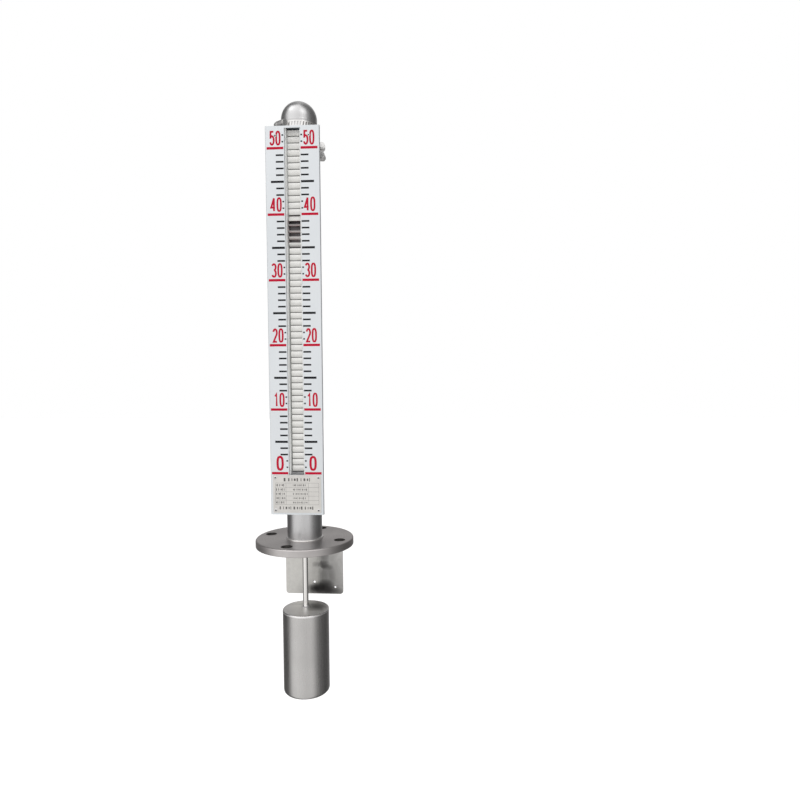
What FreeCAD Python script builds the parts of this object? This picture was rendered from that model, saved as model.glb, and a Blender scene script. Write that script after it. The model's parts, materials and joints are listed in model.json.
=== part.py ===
import FreeCAD, Part
import math
import os
import re

import Sketcher

# Top-mounted magnetic level gauge: a float on a rod lifts ring magnets inside a standpipe,
# and the magnets turn the flaps of the indicator clamped to the front of the pipe.
# Millimetres and degrees. The origin is the centre of the flange's underside, +Z runs up
# the standpipe, and the scale faces -Y.

# Driving dimensions, one cell of the sheet each
SIZES = {
    # scale and flaps
    "scale_length": 500,
    "flap_spacing": 10,
    "flap_gap": 0.8,
    "flaps_above_scale": 3,
    "zero_height": 126,
    "row_start_lift": 1.6,
    "flap_middle_thickness": 2.2,
    "flap_edge_thickness": 0.9,
    "flap_end_gap": 0.4,
    "flap_recess": 12,
    "pin_diameter": 1.2,
    "pin_reach": 0.8,
    "pin_clearance": 0.08,
    "swing_clearance": 0.9,
    # standpipe and its cap
    "tube_diameter": 57,
    "tube_wall": 2.9,
    "tube_socket_depth": 5,
    "cap_skirt": 6,
    "foot_weld_height": 2,
    "seam_weld_width": 4,
    "seam_weld_crown": 0.4,
    # flange
    "flange_diameter": 160,
    "flange_thickness": 12,
    "flange_top_round": 2.5,
    "flange_bottom_round": 1,
    "bolt_circle_diameter": 125,
    "bolt_hole_diameter": 18,
    "bolt_turn": 15,
    "bush_hole_diameter": 24,
    # guide bush and its nut
    "bush_head_diameter": 40,
    "bush_head_thickness": 6,
    "bush_thread_end": 3,
    "seat_clearance": 0.1,
    "running_clearance": 0.06,
    "guide_nut_width": 34,
    "guide_nut_thickness": 8,
    # hanging bracket
    "bracket_width": 102,
    "bracket_thickness": 2,
    "bracket_drop": 110,
    "bracket_rear": 75,
    "bracket_front": 30,
    "bracket_corner": 5,
    "bracket_bend": 3,
    "bracket_hole_diameter": 4,
    "bracket_hole_drop": 89,
    "bracket_small_hole_diameter": 3.5,
    "bracket_small_hole_across": 37,
    "bracket_small_hole_drop": 98,
    "bolt_head_room": 2,
    # indicator channel, window and rails
    "saddle_thickness": 3.7,
    "channel_floor_thickness": 1.6,
    "channel_wall": 3,
    "lip_half_width": 37,
    "lip_thickness": 2,
    "window_thickness": 2,
    "window_rebate": 1.2,
    "rail_thickness": 2,
    "channel_end_gap": 0.8,
    "plug_gap": 0.5,
    "bottom_plug_length": 20,
    "bottom_plug_recess": 4,
    "bottom_plug_step": 1.2,
    # scale plate and nameplate
    "plate_width": 84,
    "plate_above_scale": 34,
    "plate_below_zero": 65,
    "plate_thickness": 1.5,
    "plate_fold_depth": 5,
    "plate_fold_round": 1.3,
    "slot_width": 25,
    "slot_below_zero": 2,
    "slot_above_scale": 30.8,
    "nameplate_width": 76,
    "nameplate_height": 59.5,
    "nameplate_thickness": 0.8,
    "nameplate_corner": 1.5,
    "nameplate_rise": 3.2,
    # screws and rivets
    "rivet_inset": 4,
    "rivet_diameter": 2,
    "rivet_head_diameter": 4.8,
    "rivet_head_height": 1,
    "scale_screw_spacing": 52,
    "scale_screw_drop": 14.7,
    "scale_screw_diameter": 2.5,
    "scale_screw_head_diameter": 4.4,
    "scale_screw_head_height": 1.4,
    "saddle_rivet_diameter": 3,
    "saddle_rivet_head_diameter": 6,
    "saddle_rivet_head_height": 0.5,
    "saddle_rivet_inset": 4,
    # hose clamps and saddles
    "tongue_thickness": 0.8,
    "tongue_width": 20,
    "band_thickness": 0.7,
    "band_width": 9,
    "band_slot_clearance": 0.15,
    "clamp_above_plate": 12,
    "seam_above_clamp": 8,
    "upper_clamp_drop": 15,
    "middle_clamp_drop": 30,
    "lower_clamp_rise": 39,
    "housing_length": 13,
    "housing_width": 12.6,
    "housing_foot": 4,
    "housing_wall": 1,
    "worm_diameter": 9,
    "worm_standoff": 1,
    "worm_length": 17,
    "worm_head_width": 8,
    "worm_head_length": 4.5,
    "worm_collar_diameter": 11,
    "worm_collar_thickness": 1.2,
    "worm_slot_width": 1.2,
    "worm_slot_depth": 1.6,
    "saddle_width": 26,
    "saddle_end_length": 9,
    # float and rod
    "rest_reading": 375,
    "rod_diameter": 9,
    "rod_bore": 6,
    "rod_seat_depth": 12,
    "float_diameter": 76,
    "float_length": 139,
    "float_drop": 108,
    "float_wall": 1.2,
    "float_top_rise": 3,
    "float_top_rim": 3,
    "float_top_chamfer": 1.4,
    "float_bottom_depth": 14,
    "float_bottom_round": 6,
    "boss_diameter": 15,
    "boss_collar_diameter": 19,
    "boss_collar_height": 0.8,
    "boss_depth": 16,
    # magnet carrier
    "carrier_diameter": 46,
    "carrier_disc_thickness": 3,
    "carrier_sleeve_diameter": 14,
    "magnet_diameter": 40,
    "magnet_height": 16,
    "rod_nut_width": 16,
    "rod_nut_thickness": 6,
    "rod_end_length": 3,
}

# Values worked out from the driving dimensions. Depths are measured from the axis towards -Y.
WORKED_OUT = {
    "tube_radius": "tube_diameter / 2",
    "tube_bore_radius": "tube_radius - tube_wall",
    "web_top": "flange_thickness - tube_socket_depth",
    "plate_bottom": "zero_height - plate_below_zero",
    "plate_top": "zero_height + scale_length + plate_above_scale",
    "slot_bottom": "zero_height - slot_below_zero",
    "slot_top": "zero_height + scale_length + slot_above_scale",
    "row_start": "zero_height + row_start_lift",
    "flap_height": "flap_spacing - flap_gap",
    "row_top": "row_start + flap_spacing * floor(scale_length / flap_spacing + flaps_above_scale)",
    "plug_back": "channel_floor + saddle_rivet_head_height + swing_clearance",
    "top_clamp_height": "plate_top + clamp_above_plate",
    "upper_clamp_height": "plate_top - upper_clamp_drop",
    "middle_clamp_height": "plate_top - middle_clamp_drop",
    "lower_clamp_height": "plate_bottom + lower_clamp_rise",
    "cap_seam": "top_clamp_height + seam_above_clamp",
    "cap_spring": "cap_seam + cap_skirt",
    "channel_back": "tube_radius + saddle_thickness",
    "channel_floor": "channel_back + channel_floor_thickness",
    "pin_line": "channel_floor + swing_clearance + flap_height / 2",
    "plate_front": "pin_line + flap_middle_thickness / 2 + flap_recess",
    "plate_back": "plate_front - plate_thickness",
    "window_back": "plate_back - window_thickness",
    "channel_bottom": "plate_bottom + channel_end_gap",
    "channel_top": "plate_top - channel_end_gap",
    "slot_half": "slot_width / 2",
    "window_half": "slot_half + window_rebate",
    "web_half": "slot_half + channel_wall",
    "rail_inner": "slot_half - rail_thickness",
    "flap_half": "rail_inner - flap_end_gap",
    "socket_half": "pin_diameter / 2 + pin_clearance",
    "rail_bottom": "row_start - bottom_plug_length",
    "nameplate_bottom": "plate_bottom + nameplate_rise",
    "nameplate_top": "nameplate_bottom + nameplate_height",
    "rivet_across": "nameplate_width / 2 - rivet_inset",
    "rivet_low": "nameplate_bottom + rivet_inset",
    "rivet_high": "nameplate_top - rivet_inset",
    "scale_screw_across": "scale_screw_spacing / 2",
    "scale_screw_height": "plate_top - scale_screw_drop",
    "rivet_hole": "rivet_diameter + seat_clearance",
    "scale_screw_hole": "scale_screw_diameter + seat_clearance",
    "saddle_rivet_hole": "saddle_rivet_diameter + seat_clearance",
    "band_inner": "tube_radius + tongue_thickness",
    "band_outer": "band_inner + band_thickness",
    "worm_line": "band_outer + worm_diameter / 2 + worm_standoff",
    "upper_saddle_bottom": "middle_clamp_height - band_width / 2 - saddle_end_length",
    "upper_saddle_top": "upper_clamp_height + band_width / 2 + saddle_end_length",
    "lower_saddle_bottom": "lower_clamp_height - band_width / 2 - saddle_end_length",
    "lower_saddle_top": "lower_clamp_height + band_width / 2 + saddle_end_length",
    "tongue_top": "top_clamp_height + band_width / 2 + 2 * tongue_thickness",
    "bush_shank": "bush_hole_diameter / 2 - seat_clearance",
    "bush_bore": "rod_diameter / 2 + running_clearance",
    "nut_bottom": "-bracket_thickness - guide_nut_thickness",
    "bush_bottom": "nut_bottom - bush_thread_end",
    "bracket_half": "bracket_width / 2",
    "bolt_across": "bolt_circle_diameter / 2 * cos(bolt_turn)",
    "bolt_along": "-bolt_circle_diameter / 2 * sin(bolt_turn)",
    "bolt_room": "bolt_hole_diameter + 2 * bolt_head_room",
    "float_radius": "float_diameter / 2",
    "float_top": "-float_drop",
    "float_apex": "float_top + float_top_rise",
    "float_bottom": "float_top - float_length",
    "shell_top": "float_top - float_top_rim",
    "shell_bottom": "float_bottom + float_bottom_depth",
    "boss_radius": "boss_diameter / 2",
    "boss_collar_radius": "boss_collar_diameter / 2",
    "rod_hole": "rod_diameter / 2 + seat_clearance",
    "rod_bottom": "float_apex - rod_seat_depth",
    "magnet_middle": "zero_height + rest_reading",
    "magnet_bottom": "magnet_middle - magnet_height",
    "magnet_top": "magnet_middle + magnet_height",
    "carrier_bottom": "magnet_bottom - carrier_disc_thickness",
    "carrier_top": "magnet_top + carrier_disc_thickness",
    "rod_top": "carrier_top + rod_nut_thickness + rod_end_length",
    "sleeve_radius": "carrier_sleeve_diameter / 2",
}

# How each flap that the magnets have disturbed stands, by the scale mark at its foot: its turn
# about +X from lying flat, with the top edge coming forwards when positive
TURNED_FLAPS = {35: 52, 36: 66, 37: 80, 38: 88, 39: -30}

# The flaps below this scale mark are separate solids of one piece
FIRST_HINGED_FLAP = 27

document = FreeCAD.newDocument("magnetic_level_gauge")
sheet = document.addObject("Spreadsheet::Sheet", "sizes")
for row, (alias, value) in enumerate(SIZES.items(), 1):
    sheet.set(f"A{row}", alias.replace("_", " "))
    sheet.set(f"B{row}", str(value))
    sheet.setAlias(f"B{row}", alias)
document.recompute()


def spell(text):
    """Write an expression of plain names as an expression on the sheet's cells."""
    def swap(match):
        word = match.group()
        if word in WORKED_OUT:
            return "(" + spell(WORKED_OUT[word]) + ")"
        return "sizes." + word if word in SIZES else word
    return re.sub(r"[a-z][a-z_]*", swap, text)


def number(text):
    """The value of an expression of plain names."""
    return float(sheet.evalExpression(spell(text)))


def bind(item, field, text):
    """Bind a property of an object to the sheet."""
    item.setExpression(field, spell(text))


def place(item, x="0", y="0", z="0"):
    """Bind the position of an object to the sheet."""
    for field, text in zip("xyz", (x, y, z)):
        bind(item, f"Placement.Base.{field}", text)


# Sketches and features of a body
def new_body(name):
    body = document.addObject("PartDesign::Body", name)
    body.Label = name
    return body


def origin_part(body, role):
    return next(item for item in body.Origin.OriginFeatures if item.Role == role)


def fix_point(sketch, geometry, point, x, y):
    """Hold a point of a sketch at the place that two expressions give."""
    for text, kind, axis in ((x, "DistanceX", -2), (y, "DistanceY", -1)):
        if text == "0":
            sketch.addConstraint(Sketcher.Constraint("PointOnObject", geometry, point, axis))
            continue
        constraint = Sketcher.Constraint(kind, -1, 1, geometry, point, number(text))
        index = sketch.addConstraint(constraint)
        bind(sketch, f"Constraints[{index}]", text)


def add_outline(sketch, points):
    """A closed outline of straight lines through points given as pairs of expressions."""
    first = sketch.GeometryCount
    corners = [FreeCAD.Vector(number(x), number(y), 0) for x, y in points]
    for index, corner in enumerate(corners):
        sketch.addGeometry(Part.LineSegment(corner, corners[(index + 1) % len(corners)]))
    for index in range(len(corners)):
        following = first + (index + 1) % len(corners)
        sketch.addConstraint(Sketcher.Constraint("Coincident", first + index, 2, following, 1))
    for index, (x, y) in enumerate(points):
        fix_point(sketch, first + index, 1, x, y)


def add_circle(sketch, x, y, diameter):
    centre = FreeCAD.Vector(number(x), number(y), 0)
    radius = number(diameter) / 2
    circle = sketch.addGeometry(Part.Circle(centre, FreeCAD.Vector(0, 0, 1), radius))
    index = sketch.addConstraint(Sketcher.Constraint("Diameter", circle, 2 * radius))
    bind(sketch, f"Constraints[{index}]", diameter)
    fix_point(sketch, circle, 3, x, y)


def rectangle(low_x, low_y, high_x, high_y):
    return [(low_x, low_y), (high_x, low_y), (high_x, high_y), (low_x, high_y)]


def new_sketch(body, plane, outlines=(), circles=(), lift="0"):
    """A sketch on one of the body's own planes, moved along the plane's normal by lift."""
    sketch = body.newObject("Sketcher::SketchObject", body.Name + "_sketch")
    sketch.AttachmentSupport = [(origin_part(body, plane), "")]
    sketch.MapMode = "FlatFace"
    bind(sketch, "AttachmentOffset.Base.z", lift)
    for points in outlines:
        add_outline(sketch, points)
    for circle in circles:
        add_circle(sketch, *circle)
    return sketch


def pad(body, sketch, length, symmetric=False):
    feature = body.newObject("PartDesign::Pad", body.Name + "_pad")
    feature.Profile = sketch
    feature.SideType = "Symmetric" if symmetric else "One side"
    bind(feature, "Length", length)
    document.recompute()
    return feature


def must_remove(body, feature, before):
    """Stop if a cut leaves the body's volume as it was."""
    document.recompute()
    if not body.Shape.Volume < before - 1e-6:
        raise ValueError(f"{feature.Name} cuts nothing")
    return feature


def pocket(body, sketch):
    """Cut a sketch right through the body, both ways from its plane."""
    document.recompute()
    before = body.Shape.Volume
    feature = body.newObject("PartDesign::Pocket", body.Name + "_pocket")
    feature.Profile = sketch
    feature.Type = "ThroughAll"
    feature.Midplane = True
    return must_remove(body, feature, before)


def revolve(body, sketch):
    feature = body.newObject("PartDesign::Revolution", body.Name + "_revolution")
    feature.Profile = sketch
    feature.ReferenceAxis = (sketch, ["V_Axis"])
    document.recompute()
    return feature


def round_edges(body, feature, radius, chosen):
    """Fillet the edges of the body's last feature that the test chosen picks."""
    names = [f"Edge{index}" for index, edge in enumerate(feature.Shape.Edges, 1) if chosen(edge)]
    fillet = body.newObject("PartDesign::Fillet", body.Name + "_fillet")
    fillet.Base = (feature, names)
    bind(fillet, "Radius", radius)
    document.recompute()
    return fillet


def repeat(body, features, axis, spacing, count):
    """Repeat features of the body along one of its axes."""
    pattern = body.newObject("PartDesign::LinearPattern", body.Name + "_pattern")
    pattern.Originals = features
    pattern.Direction = (origin_part(body, axis), [""])
    pattern.Mode = "Spacing"
    bind(pattern, "Offset", spacing)
    pattern.Occurrences = count
    body.Tip = pattern
    document.recompute()
    return pattern


def ring_at(radius, height):
    """A test for circular edges about Z of a given radius and height."""
    def chosen(edge):
        curve = edge.Curve
        if not isinstance(curve, Part.Circle):
            return False
        return abs(curve.Radius - number(radius)) < 1e-3 and abs(curve.Center.z - number(height)) < 1e-3
    return chosen


def straight_along(direction, test):
    """A test for straight edges along a direction whose middle passes another test."""
    def chosen(edge):
        start, end = edge.Vertexes[0].Point, edge.Vertexes[-1].Point
        along = (end - start).normalize() if isinstance(edge.Curve, Part.Line) else None
        return along is not None and abs(abs(along.dot(direction)) - 1) < 1e-6 and test((start + end) / 2)
    return chosen


ACROSS = FreeCAD.Vector(1, 0, 0)
BACK = FreeCAD.Vector(0, 1, 0)
UP = FreeCAD.Vector(0, 0, 1)
FACING_FRONT = FreeCAD.Rotation(ACROSS, 90)


# Primitives, booleans and copies
def box(name, low, high):
    """A block between two corners given as expressions."""
    item = document.addObject("Part::Box", name)
    for field, start, end in zip(("Length", "Width", "Height"), low, high):
        bind(item, field, f"({end}) - ({start})")
    place(item, *low)
    return item


def cylinder(name, radius, bottom, top):
    item = document.addObject("Part::Cylinder", name)
    bind(item, "Radius", radius)
    bind(item, "Height", f"({top}) - ({bottom})")
    place(item, z=bottom)
    return item


def hexagon(name, width, bottom, top):
    """A hexagonal bar about Z, measured across its flats."""
    item = document.addObject("Part::Prism", name)
    item.Polygon = 6
    bind(item, "Circumradius", f"({width}) / sqrt(3)")
    bind(item, "Height", f"({top}) - ({bottom})")
    place(item, z=bottom)
    return item


def boolean(kind, name, base, tool):
    item = document.addObject(f"Part::{kind}", name)
    item.Label = name
    item.Base = base
    item.Tool = tool
    return item


def cut(name, base, tool):
    return boolean("Cut", name, base, tool)


def shaped(name, shape):
    """A piece whose shape comes from Part's own functions."""
    item = document.addObject("Part::Feature", name)
    item.Label = name
    item.Shape = shape
    return item


def copies(name, master, placements):
    """One piece of separate solids: the master, repeated at each placement."""
    document.recompute()
    shapes = []
    for placement in placements:
        shape = master.Shape.copy()
        shape.Placement = placement.multiply(shape.Placement)
        shapes.append(shape)
    return shaped(name, Part.makeCompound(shapes))


def at(x, y, z, rotation=FreeCAD.Rotation()):
    """A placement at a point given as expressions."""
    return FreeCAD.Placement(FreeCAD.Vector(number(x), number(y), number(z)), rotation)


# Standpipe, cap and welds
def make_standpipe():
    body = new_body("standpipe")
    rings = [("0", "0", "tube_diameter"), ("0", "0", "2 * tube_bore_radius")]
    pad(body, new_sketch(body, "XY_Plane", circles=rings, lift="web_top"), "cap_seam - web_top")
    return body


def make_dome(name, radius):
    """The upper half of a ball that springs from the cap's skirt."""
    dome = document.addObject("Part::Sphere", name)
    bind(dome, "Radius", radius)
    dome.Angle1 = 0
    place(dome, z="cap_spring")
    return dome


def make_dome_cap():
    outer_skirt = cylinder("cap_outer_skirt", "tube_radius", "cap_seam", "cap_spring")
    outer_dome = make_dome("cap_outer_dome", "tube_radius")
    outer = boolean("Fuse", "cap_outer", outer_skirt, outer_dome)
    inner_skirt = cylinder("cap_inner_skirt", "tube_bore_radius", "cap_seam", "cap_spring")
    inner_dome = make_dome("cap_inner_dome", "tube_bore_radius")
    inner = boolean("Fuse", "cap_inner", inner_skirt, inner_dome)
    return cut("dome_cap", outer, inner)


def revolved_bead(points):
    """A weld bead about Z whose face bulges through the middle one of three points."""
    start, middle, end = [FreeCAD.Vector(number(x), 0, number(z)) for x, z in points]
    crown = Part.Arc(start, middle, end).toShape()
    return crown, start, end


def make_tube_weld():
    """The fillet weld in the corner between the standpipe and the flange."""
    crown, foot, top = revolved_bead([
        ("tube_radius + foot_weld_height", "flange_thickness"),
        ("tube_radius + 0.6 * foot_weld_height", "flange_thickness + 0.6 * foot_weld_height"),
        ("tube_radius", "flange_thickness + foot_weld_height"),
    ])
    corner = FreeCAD.Vector(top.x, 0, foot.z)
    wire = Part.Wire([crown, Part.makeLine(top, corner), Part.makeLine(corner, foot)])
    return shaped("tube_weld", Part.Face(wire).revolve(FreeCAD.Vector(), UP, 360))


def make_cap_weld():
    """The low butt weld over the seam between the standpipe and its cap."""
    crown, low, high = revolved_bead([
        ("tube_radius", "cap_seam - seam_weld_width / 2"),
        ("tube_radius + seam_weld_crown", "cap_seam"),
        ("tube_radius", "cap_seam + seam_weld_width / 2"),
    ])
    wire = Part.Wire([crown, Part.makeLine(high, low)])
    return shaped("cap_weld", Part.Face(wire).revolve(FreeCAD.Vector(), UP, 360))


# Flange, guide and bracket
def make_mounting_flange():
    """A plate flange with a socket for the standpipe and a smaller hole for the guide bush."""
    body = new_body("mounting_flange")
    profile = [
        ("bush_hole_diameter / 2", "0"),
        ("flange_diameter / 2", "0"),
        ("flange_diameter / 2", "flange_thickness"),
        ("tube_radius", "flange_thickness"),
        ("tube_radius", "web_top"),
        ("bush_hole_diameter / 2", "web_top"),
    ]
    disc = revolve(body, new_sketch(body, "XZ_Plane", [profile]))
    disc = round_edges(body, disc, "flange_top_round", ring_at("flange_diameter / 2", "flange_thickness"))
    disc = round_edges(body, disc, "flange_bottom_round", ring_at("flange_diameter / 2", "0"))
    hole = pocket(body, new_sketch(body, "XY_Plane", circles=[("bolt_across", "bolt_along", "bolt_hole_diameter")]))
    pattern = body.newObject("PartDesign::PolarPattern", "bolt_holes")
    pattern.Originals = [hole]
    pattern.Axis = (origin_part(body, "Z_Axis"), [""])
    pattern.Angle = 360
    pattern.Occurrences = 4
    body.Tip = pattern
    return body


def make_guide_bush():
    """A headed bush on the flange's web: its shank passes the flange, the bracket and the nut."""
    body = new_body("guide_bush")
    profile = [
        ("bush_bore", "bush_bottom"),
        ("bush_shank", "bush_bottom"),
        ("bush_shank", "web_top"),
        ("bush_head_diameter / 2", "web_top"),
        ("bush_head_diameter / 2", "web_top + bush_head_thickness"),
        ("bush_bore", "web_top + bush_head_thickness"),
    ]
    revolve(body, new_sketch(body, "XZ_Plane", [profile]))
    return body


def make_nut(name, width, hole, bottom, top):
    """A hexagon nut with its corners turned off on both faces."""
    blank = hexagon(name + "_blank", width, bottom, top)
    round_limit = document.addObject("Part::Cone", name + "_turning")
    turned = document.addObject("Part::Common", name + "_turned")
    bind(round_limit, "Radius1", f"({width}) * 0.56")
    bind(round_limit, "Radius2", f"({width}) * 0.5")
    bind(round_limit, "Height", f"({top}) - ({bottom})")
    place(round_limit, z=bottom)
    turned.Base = blank
    turned.Tool = round_limit
    return cut(name, turned, cylinder(name + "_hole", hole, bottom, top))


def make_support_bracket():
    """A folded plate held under the flange by the guide's nut, with room for the flange's bolts."""
    body = new_body("support_bracket")
    angle = [
        ("-bracket_front", "0"),
        ("bracket_rear + bracket_thickness", "0"),
        ("bracket_rear + bracket_thickness", "-bracket_drop"),
        ("bracket_rear", "-bracket_drop"),
        ("bracket_rear", "-bracket_thickness"),
        ("-bracket_front", "-bracket_thickness"),
    ]
    plate = pad(body, new_sketch(body, "YZ_Plane", [angle]), "bracket_width", symmetric=True)
    rear, thick = number("bracket_rear"), number("bracket_thickness")
    outer_bend = straight_along(ACROSS, lambda p: abs(p.y - rear - thick) < 1e-3 and abs(p.z) < 1e-3)
    inner_bend = straight_along(ACROSS, lambda p: abs(p.y - rear) < 1e-3 and abs(p.z + thick) < 1e-3)
    plate = round_edges(body, plate, "bracket_bend + bracket_thickness", outer_bend)
    plate = round_edges(body, plate, "bracket_bend", inner_bend)
    drop, front = number("bracket_drop"), number("bracket_front")
    low_corner = straight_along(BACK, lambda p: abs(p.z + drop) < 1e-3)
    front_corner = straight_along(UP, lambda p: abs(p.y + front) < 1e-3)
    plate = round_edges(body, plate, "bracket_corner", low_corner)
    round_edges(body, plate, "bracket_corner", front_corner)
    holes = [("0", "0", "bush_hole_diameter")]
    holes += [("bolt_across", "bolt_along", "bolt_room"), ("-bolt_along", "bolt_across", "bolt_room")]
    holes += [("-bolt_across", "-bolt_along", "bolt_room")]
    pocket(body, new_sketch(body, "XY_Plane", circles=holes))
    rear_holes = [("0", "-bracket_hole_drop", "bracket_hole_diameter")]
    rear_holes += [("bracket_small_hole_across", "-bracket_small_hole_drop", "bracket_small_hole_diameter")]
    pocket(body, new_sketch(body, "XZ_Plane", circles=rear_holes))
    return body


# Indicator: channel, window, rails and end plugs
def make_indicator_channel():
    """A drawn hat section: a deep groove for the flaps between two lips that carry the plate."""
    body = new_body("indicator_channel")
    right = [
        ("lip_half_width", "-plate_back"),
        ("lip_half_width", "-plate_back + lip_thickness"),
        ("web_half", "-plate_back + lip_thickness"),
        ("web_half", "-channel_back"),
        ("-web_half", "-channel_back"),
        ("-web_half", "-plate_back + lip_thickness"),
        ("-lip_half_width", "-plate_back + lip_thickness"),
        ("-lip_half_width", "-plate_back"),
    ]
    groove = [
        ("-window_half", "-plate_back"),
        ("-window_half", "-window_back"),
        ("-slot_half", "-window_back"),
        ("-slot_half", "-channel_floor"),
        ("slot_half", "-channel_floor"),
        ("slot_half", "-window_back"),
        ("window_half", "-window_back"),
        ("window_half", "-plate_back"),
    ]
    section = new_sketch(body, "XY_Plane", [right + groove], lift="channel_bottom")
    pad(body, section, "channel_top - channel_bottom")
    pocket(body, new_sketch(body, "XZ_Plane", circles=front_holes() + saddle_rivet_holes()))
    return body


def front_holes():
    """Holes for the nameplate's rivets and the scale plate's screws."""
    rivets = [(across, height, "rivet_hole")
              for across in ("-rivet_across", "rivet_across") for height in ("rivet_low", "rivet_high")]
    screws = [(across, "scale_screw_height", "scale_screw_hole")
              for across in ("-scale_screw_across", "scale_screw_across")]
    return rivets + screws


SADDLE_RIVET_HEIGHTS = (
    "lower_saddle_bottom + saddle_rivet_inset",
    "lower_saddle_top - saddle_rivet_inset",
    "upper_saddle_bottom + saddle_rivet_inset",
    "upper_saddle_top - saddle_rivet_inset",
)


def saddle_rivet_holes():
    return [("0", height, "saddle_rivet_hole") for height in SADDLE_RIVET_HEIGHTS]


def make_window():
    """The clear strip that lies in the channel's rebates behind the scale plate."""
    half = "window_half - seat_clearance"
    low = (f"-({half})", "-plate_back", "channel_bottom")
    high = (half, "-window_back", "channel_top")
    return box("window", low, high)


def make_pivot_rail(name, inner, outer):
    """A strip on the channel's wall with one square socket for each flap's pin."""
    body = new_body(name)
    strip = rectangle(inner, "-window_back", outer, "-channel_floor")
    section = new_sketch(body, "XY_Plane", [strip], lift="rail_bottom")
    pad(body, section, "channel_top - rail_bottom")
    middle = "row_start + flap_spacing / 2"
    socket = rectangle("-pin_line - socket_half", f"{middle} - socket_half",
                       "-pin_line + socket_half", f"{middle} + socket_half")
    first = pocket(body, new_sketch(body, "YZ_Plane", [socket]))
    repeat(body, [first], "Z_Axis", "flap_spacing", flap_count())
    return body


def flap_count():
    return math.floor(number("scale_length / flap_spacing + flaps_above_scale"))


def make_top_end_plug():
    """A dark block between the rails over the flaps, clear of the rivets' heads behind it."""
    low = ("-rail_inner", "-window_back", "row_top + plug_gap")
    return box("top_end_plug", low, ("rail_inner", "-plug_back", "channel_top"))


def make_bottom_end_plug():
    """A block under the flaps whose front steps forwards below its upper edge."""
    body = new_body("bottom_end_plug")
    top = "row_start - plug_gap"
    side = [
        ("-plug_back", "rail_bottom"),
        ("-window_back + bottom_plug_recess", "rail_bottom"),
        ("-window_back + bottom_plug_recess", f"{top} - 2 * bottom_plug_step"),
        ("-window_back + bottom_plug_recess + bottom_plug_step", f"{top} - 2 * bottom_plug_step"),
        ("-window_back + bottom_plug_recess + bottom_plug_step", top),
        ("-plug_back", top),
    ]
    pad(body, new_sketch(body, "YZ_Plane", [side]), "2 * rail_inner", symmetric=True)
    return body


# Flaps
def add_lens(sketch, height, middle_thickness, edge_thickness):
    """A lens section about the sketch's origin: two long arcs joined by two short edges."""
    half, edge, crown = number(height) / 2, number(edge_thickness) / 2, number(middle_thickness) / 2
    sides = ((-1, 1), (1, -1))
    arcs = []
    for side, way in sides:
        start = FreeCAD.Vector(side * edge, -way * half, 0)
        end = FreeCAD.Vector(side * edge, way * half, 0)
        arcs.append(sketch.addGeometry(Part.Arc(start, FreeCAD.Vector(side * crown, 0, 0), end)))
    ends = {}
    for arc in arcs:
        for point in (1, 2):
            place_of = sketch.getPoint(arc, point)
            ends[(place_of.x > 0, place_of.y > 0)] = (arc, point)
    for high in (False, True):
        left, right = ends[(False, high)], ends[(True, high)]
        line = Part.LineSegment(sketch.getPoint(*left), sketch.getPoint(*right))
        index = sketch.addGeometry(line)
        sketch.addConstraint(Sketcher.Constraint("Coincident", index, 1, *left))
        sketch.addConstraint(Sketcher.Constraint("Coincident", index, 2, *right))
    for (on_right, high), (arc, point) in ends.items():
        x = f"({edge_thickness}) / 2" if on_right else f"-({edge_thickness}) / 2"
        y = f"({height}) / 2" if high else f"-({height}) / 2"
        fix_point(sketch, arc, point, x, y)
    rise = f"(({middle_thickness}) - ({edge_thickness})) / 2"
    radius = f"(({height}) ^ 2 / 4 + ({rise}) ^ 2) / (2 * ({rise}))"
    for arc in arcs:
        index = sketch.addConstraint(Sketcher.Constraint("Radius", arc, number(radius)))
        bind(sketch, f"Constraints[{index}]", radius)


def flap_features(body):
    """A flap about the body's X axis: the leaf, and the pin that its two ends stand on."""
    section = new_sketch(body, "YZ_Plane")
    add_lens(section, "flap_height", "flap_middle_thickness", "flap_edge_thickness")
    leaf = pad(body, section, "2 * flap_half", symmetric=True)
    pin_section = new_sketch(body, "YZ_Plane", circles=[("0", "0", "pin_diameter")])
    pin = pad(body, pin_section, "2 * (rail_inner + pin_reach)", symmetric=True)
    return [leaf, pin]


def make_hinged_flap(index):
    body = new_body(f"flap_{index:02d}")
    flap_features(body)
    body.Placement = FreeCAD.Placement(FreeCAD.Vector(), FreeCAD.Rotation(ACROSS, TURNED_FLAPS.get(index, 0)))
    place(body, y="-pin_line", z=f"row_start + flap_spacing * {index + 0.5}")
    return body


def make_lower_flaps(count):
    """The flaps of the lower part of the row, as separate solids of one piece."""
    body = new_body("lower_flaps")
    repeat(body, flap_features(body), "Z_Axis", "flap_spacing", count)
    place(body, y="-pin_line", z="row_start + flap_spacing / 2")
    return body


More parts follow.
